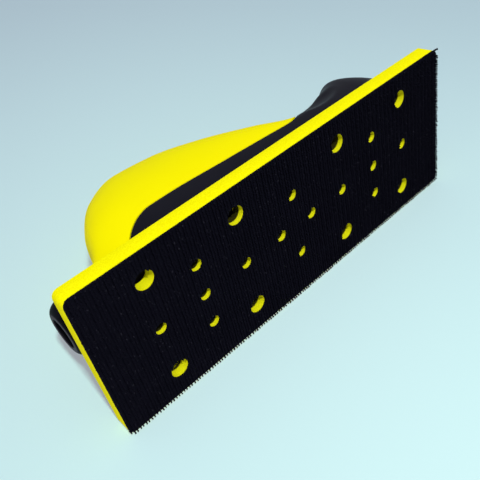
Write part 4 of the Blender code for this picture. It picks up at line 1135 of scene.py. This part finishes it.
CAMERA_PLACE = (-0.12890, -0.14974, -0.14796)
CAMERA_RIGHT = (0.72177, 0.19619, -0.66374)
CAMERA_DOWN = (-0.53411, 0.76781, -0.35384)
CAMERA_AHEAD = (0.44021, 0.60990, 0.65897)
CAMERA_LENS = 44.66
SENSOR_WIDTH = 36.0
CLIP_START = 0.01
SKY_TONE = (0.36, 0.35, 0.40)
GROUND_TONE = (0.80, 0.80, 0.79)
DISTANCE_TONE = (0.50, 0.63, 0.69)
HORIZON_BLUR = 0.15
TABLE_SIZE = 4.0
TABLE_GRAIN = 0.002
TABLE_GRAIN_DEPTH = 0.00002
TABLE_POOL_MIDDLE_TONE = (0.69, 0.94, 0.935)
TABLE_POOL_EDGE_TONE = (0.50, 0.665, 0.715)
TABLE_POOL_CENTRE = (-0.03, 0.07, -0.216)
TABLE_POOL_SPREAD = (0.408, 0.6, 0.72)
TABLE_LIT_SHARE = (0.588, 0.79, 0.69)
TABLE_GLOW_SHARE = (0.338, 0.171, 0.261)
TOUCH_HEIGHT = 0.004      # above the pad's back, from where the body may touch the table

# Each lamp's size, place and power
LAMPS = {"small_box": (0.08, (-0.18, -1.03, -0.77), 13.0),
         "wide_box": (1.5, (-0.95, -0.42, -0.62), 1.8)}

pad_edge = Vector((0.0, foam_high.y, foam_high.z))
tilt = min(math.atan2(pad_edge.y - point.co.y, point.co.z - pad_edge.z)
           for piece in (housing, grip) for point in piece.data.vertices
           if point.co.z > pad_edge.z + TOUCH_HEIGHT)
table_up = Vector((0.0, -math.cos(tilt), -math.sin(tilt)))
table_along = Vector((1.0, 0.0, 0.0))
table_across = table_up.cross(table_along)

table_top = Finish("table_top", roughness=0.9, specular=0.1)
# Painted light: the table's tone is a pool, palest round a centre near the block and darker further
# out, as if lit by a near lamp.
away = table_top.add("ShaderNodeVectorMath", {"operation": "SUBTRACT"},
                     {0: table_top.place, 1: TABLE_POOL_CENTRE})
away = table_top.add("ShaderNodeVectorMath", {"operation": "DIVIDE"},
                     {0: away, 1: TABLE_POOL_SPREAD})
away = table_top.add("ShaderNodeVectorMath", {"operation": "LENGTH"}, {0: away}, "Value")
table_pool_tone = table_top.blend(table_top.between(away, 0.0, 1.0), TABLE_POOL_MIDDLE_TONE, TABLE_POOL_EDGE_TONE)
table_top.feed("Base Color", table_top.blend(1.0, table_pool_tone, TABLE_LIT_SHARE, "MULTIPLY"))
# Painted light: the table glows with a share of its tone, so that the shadows on it stay light.
table_top.feed("Emission Color", table_top.blend(1.0, table_pool_tone, TABLE_GLOW_SHARE, "MULTIPLY"))
table_top.shader.inputs["Emission Strength"].default_value = 1.0
table_top.material.cycles.emission_sampling = "NONE"
table_top.relief(table_top.noise(TABLE_GRAIN), TABLE_GRAIN_DEPTH)

# The table shows from its front only, and lets the surround light the block through it
from_behind = table_top.add("ShaderNodeNewGeometry", output="Backfacing")
from_surround = table_top.add("ShaderNodeLightPath", output="Is Diffuse Ray")
seen_through = table_top.add("ShaderNodeMath", {"operation": "MAXIMUM"},
                             {0: from_behind, 1: from_surround})
one_way = table_top.add("ShaderNodeMixShader", {},
                        {0: seen_through, 1: Wire(table_top, table_top.shader.outputs[0]),
                         2: table_top.add("ShaderNodeBsdfTransparent")})
table_top.links.new(one_way.socket, table_top.nodes["Material Output"].inputs["Surface"])

bm = bmesh.new()
bmesh.ops.create_grid(bm, x_segments=1, y_segments=1, size=TABLE_SIZE / 2)
table_turn = Matrix((table_along, table_across, table_up)).transposed().to_4x4()
bmesh.ops.transform(bm, verts=bm.verts, matrix=Matrix.Translation(pad_edge) @ table_turn)
table_mesh = mesh_from(bm, "table")
table_mesh.materials.append(table_top.material)
new_piece("table", table_mesh)

world = bpy.data.worlds.new("studio")
world.use_nodes = True
surround = Tree(world.node_tree)
direction = surround.add("ShaderNodeTexCoord", output="Generated")
rise = surround.add("ShaderNodeVectorMath", {"operation": "DOT_PRODUCT"},
                    {0: direction, 1: table_up}, "Value")
above = surround.between(rise, -HORIZON_BLUR, HORIZON_BLUR)
surround_tone = surround.blend(above, GROUND_TONE, SKY_TONE)
in_view = surround.add("ShaderNodeLightPath", output="Is Camera Ray")
surround_tone = surround.blend(in_view, surround_tone, DISTANCE_TONE)
surround.links.new(surround_tone.socket, surround.nodes["Background"].inputs["Color"])
bpy.context.scene.world = world

for name, (size, place, power) in LAMPS.items():
    lamp = bpy.data.lights.new(name, "AREA")
    lamp.size = size
    lamp.energy = power
    box = bpy.data.objects.new(name, lamp)
    box.location = place
    box.rotation_euler = box.location.to_track_quat("Z", "Y").to_euler()
    bpy.context.scene.collection.objects.link(box)

camera = bpy.data.objects.new("camera", bpy.data.cameras.new("camera"))
camera.data.sensor_width = SENSOR_WIDTH
camera.data.lens = CAMERA_LENS
camera.data.clip_start = CLIP_START
camera_axes = Matrix((CAMERA_RIGHT, [-share for share in CAMERA_DOWN],
                      [-share for share in CAMERA_AHEAD])).transposed()
camera.matrix_world = Matrix.Translation(CAMERA_PLACE) @ camera_axes.to_4x4()
bpy.context.scene.collection.objects.link(camera)
bpy.context.scene.camera = camera
bpy.context.scene.view_settings.view_transform = "Standard"
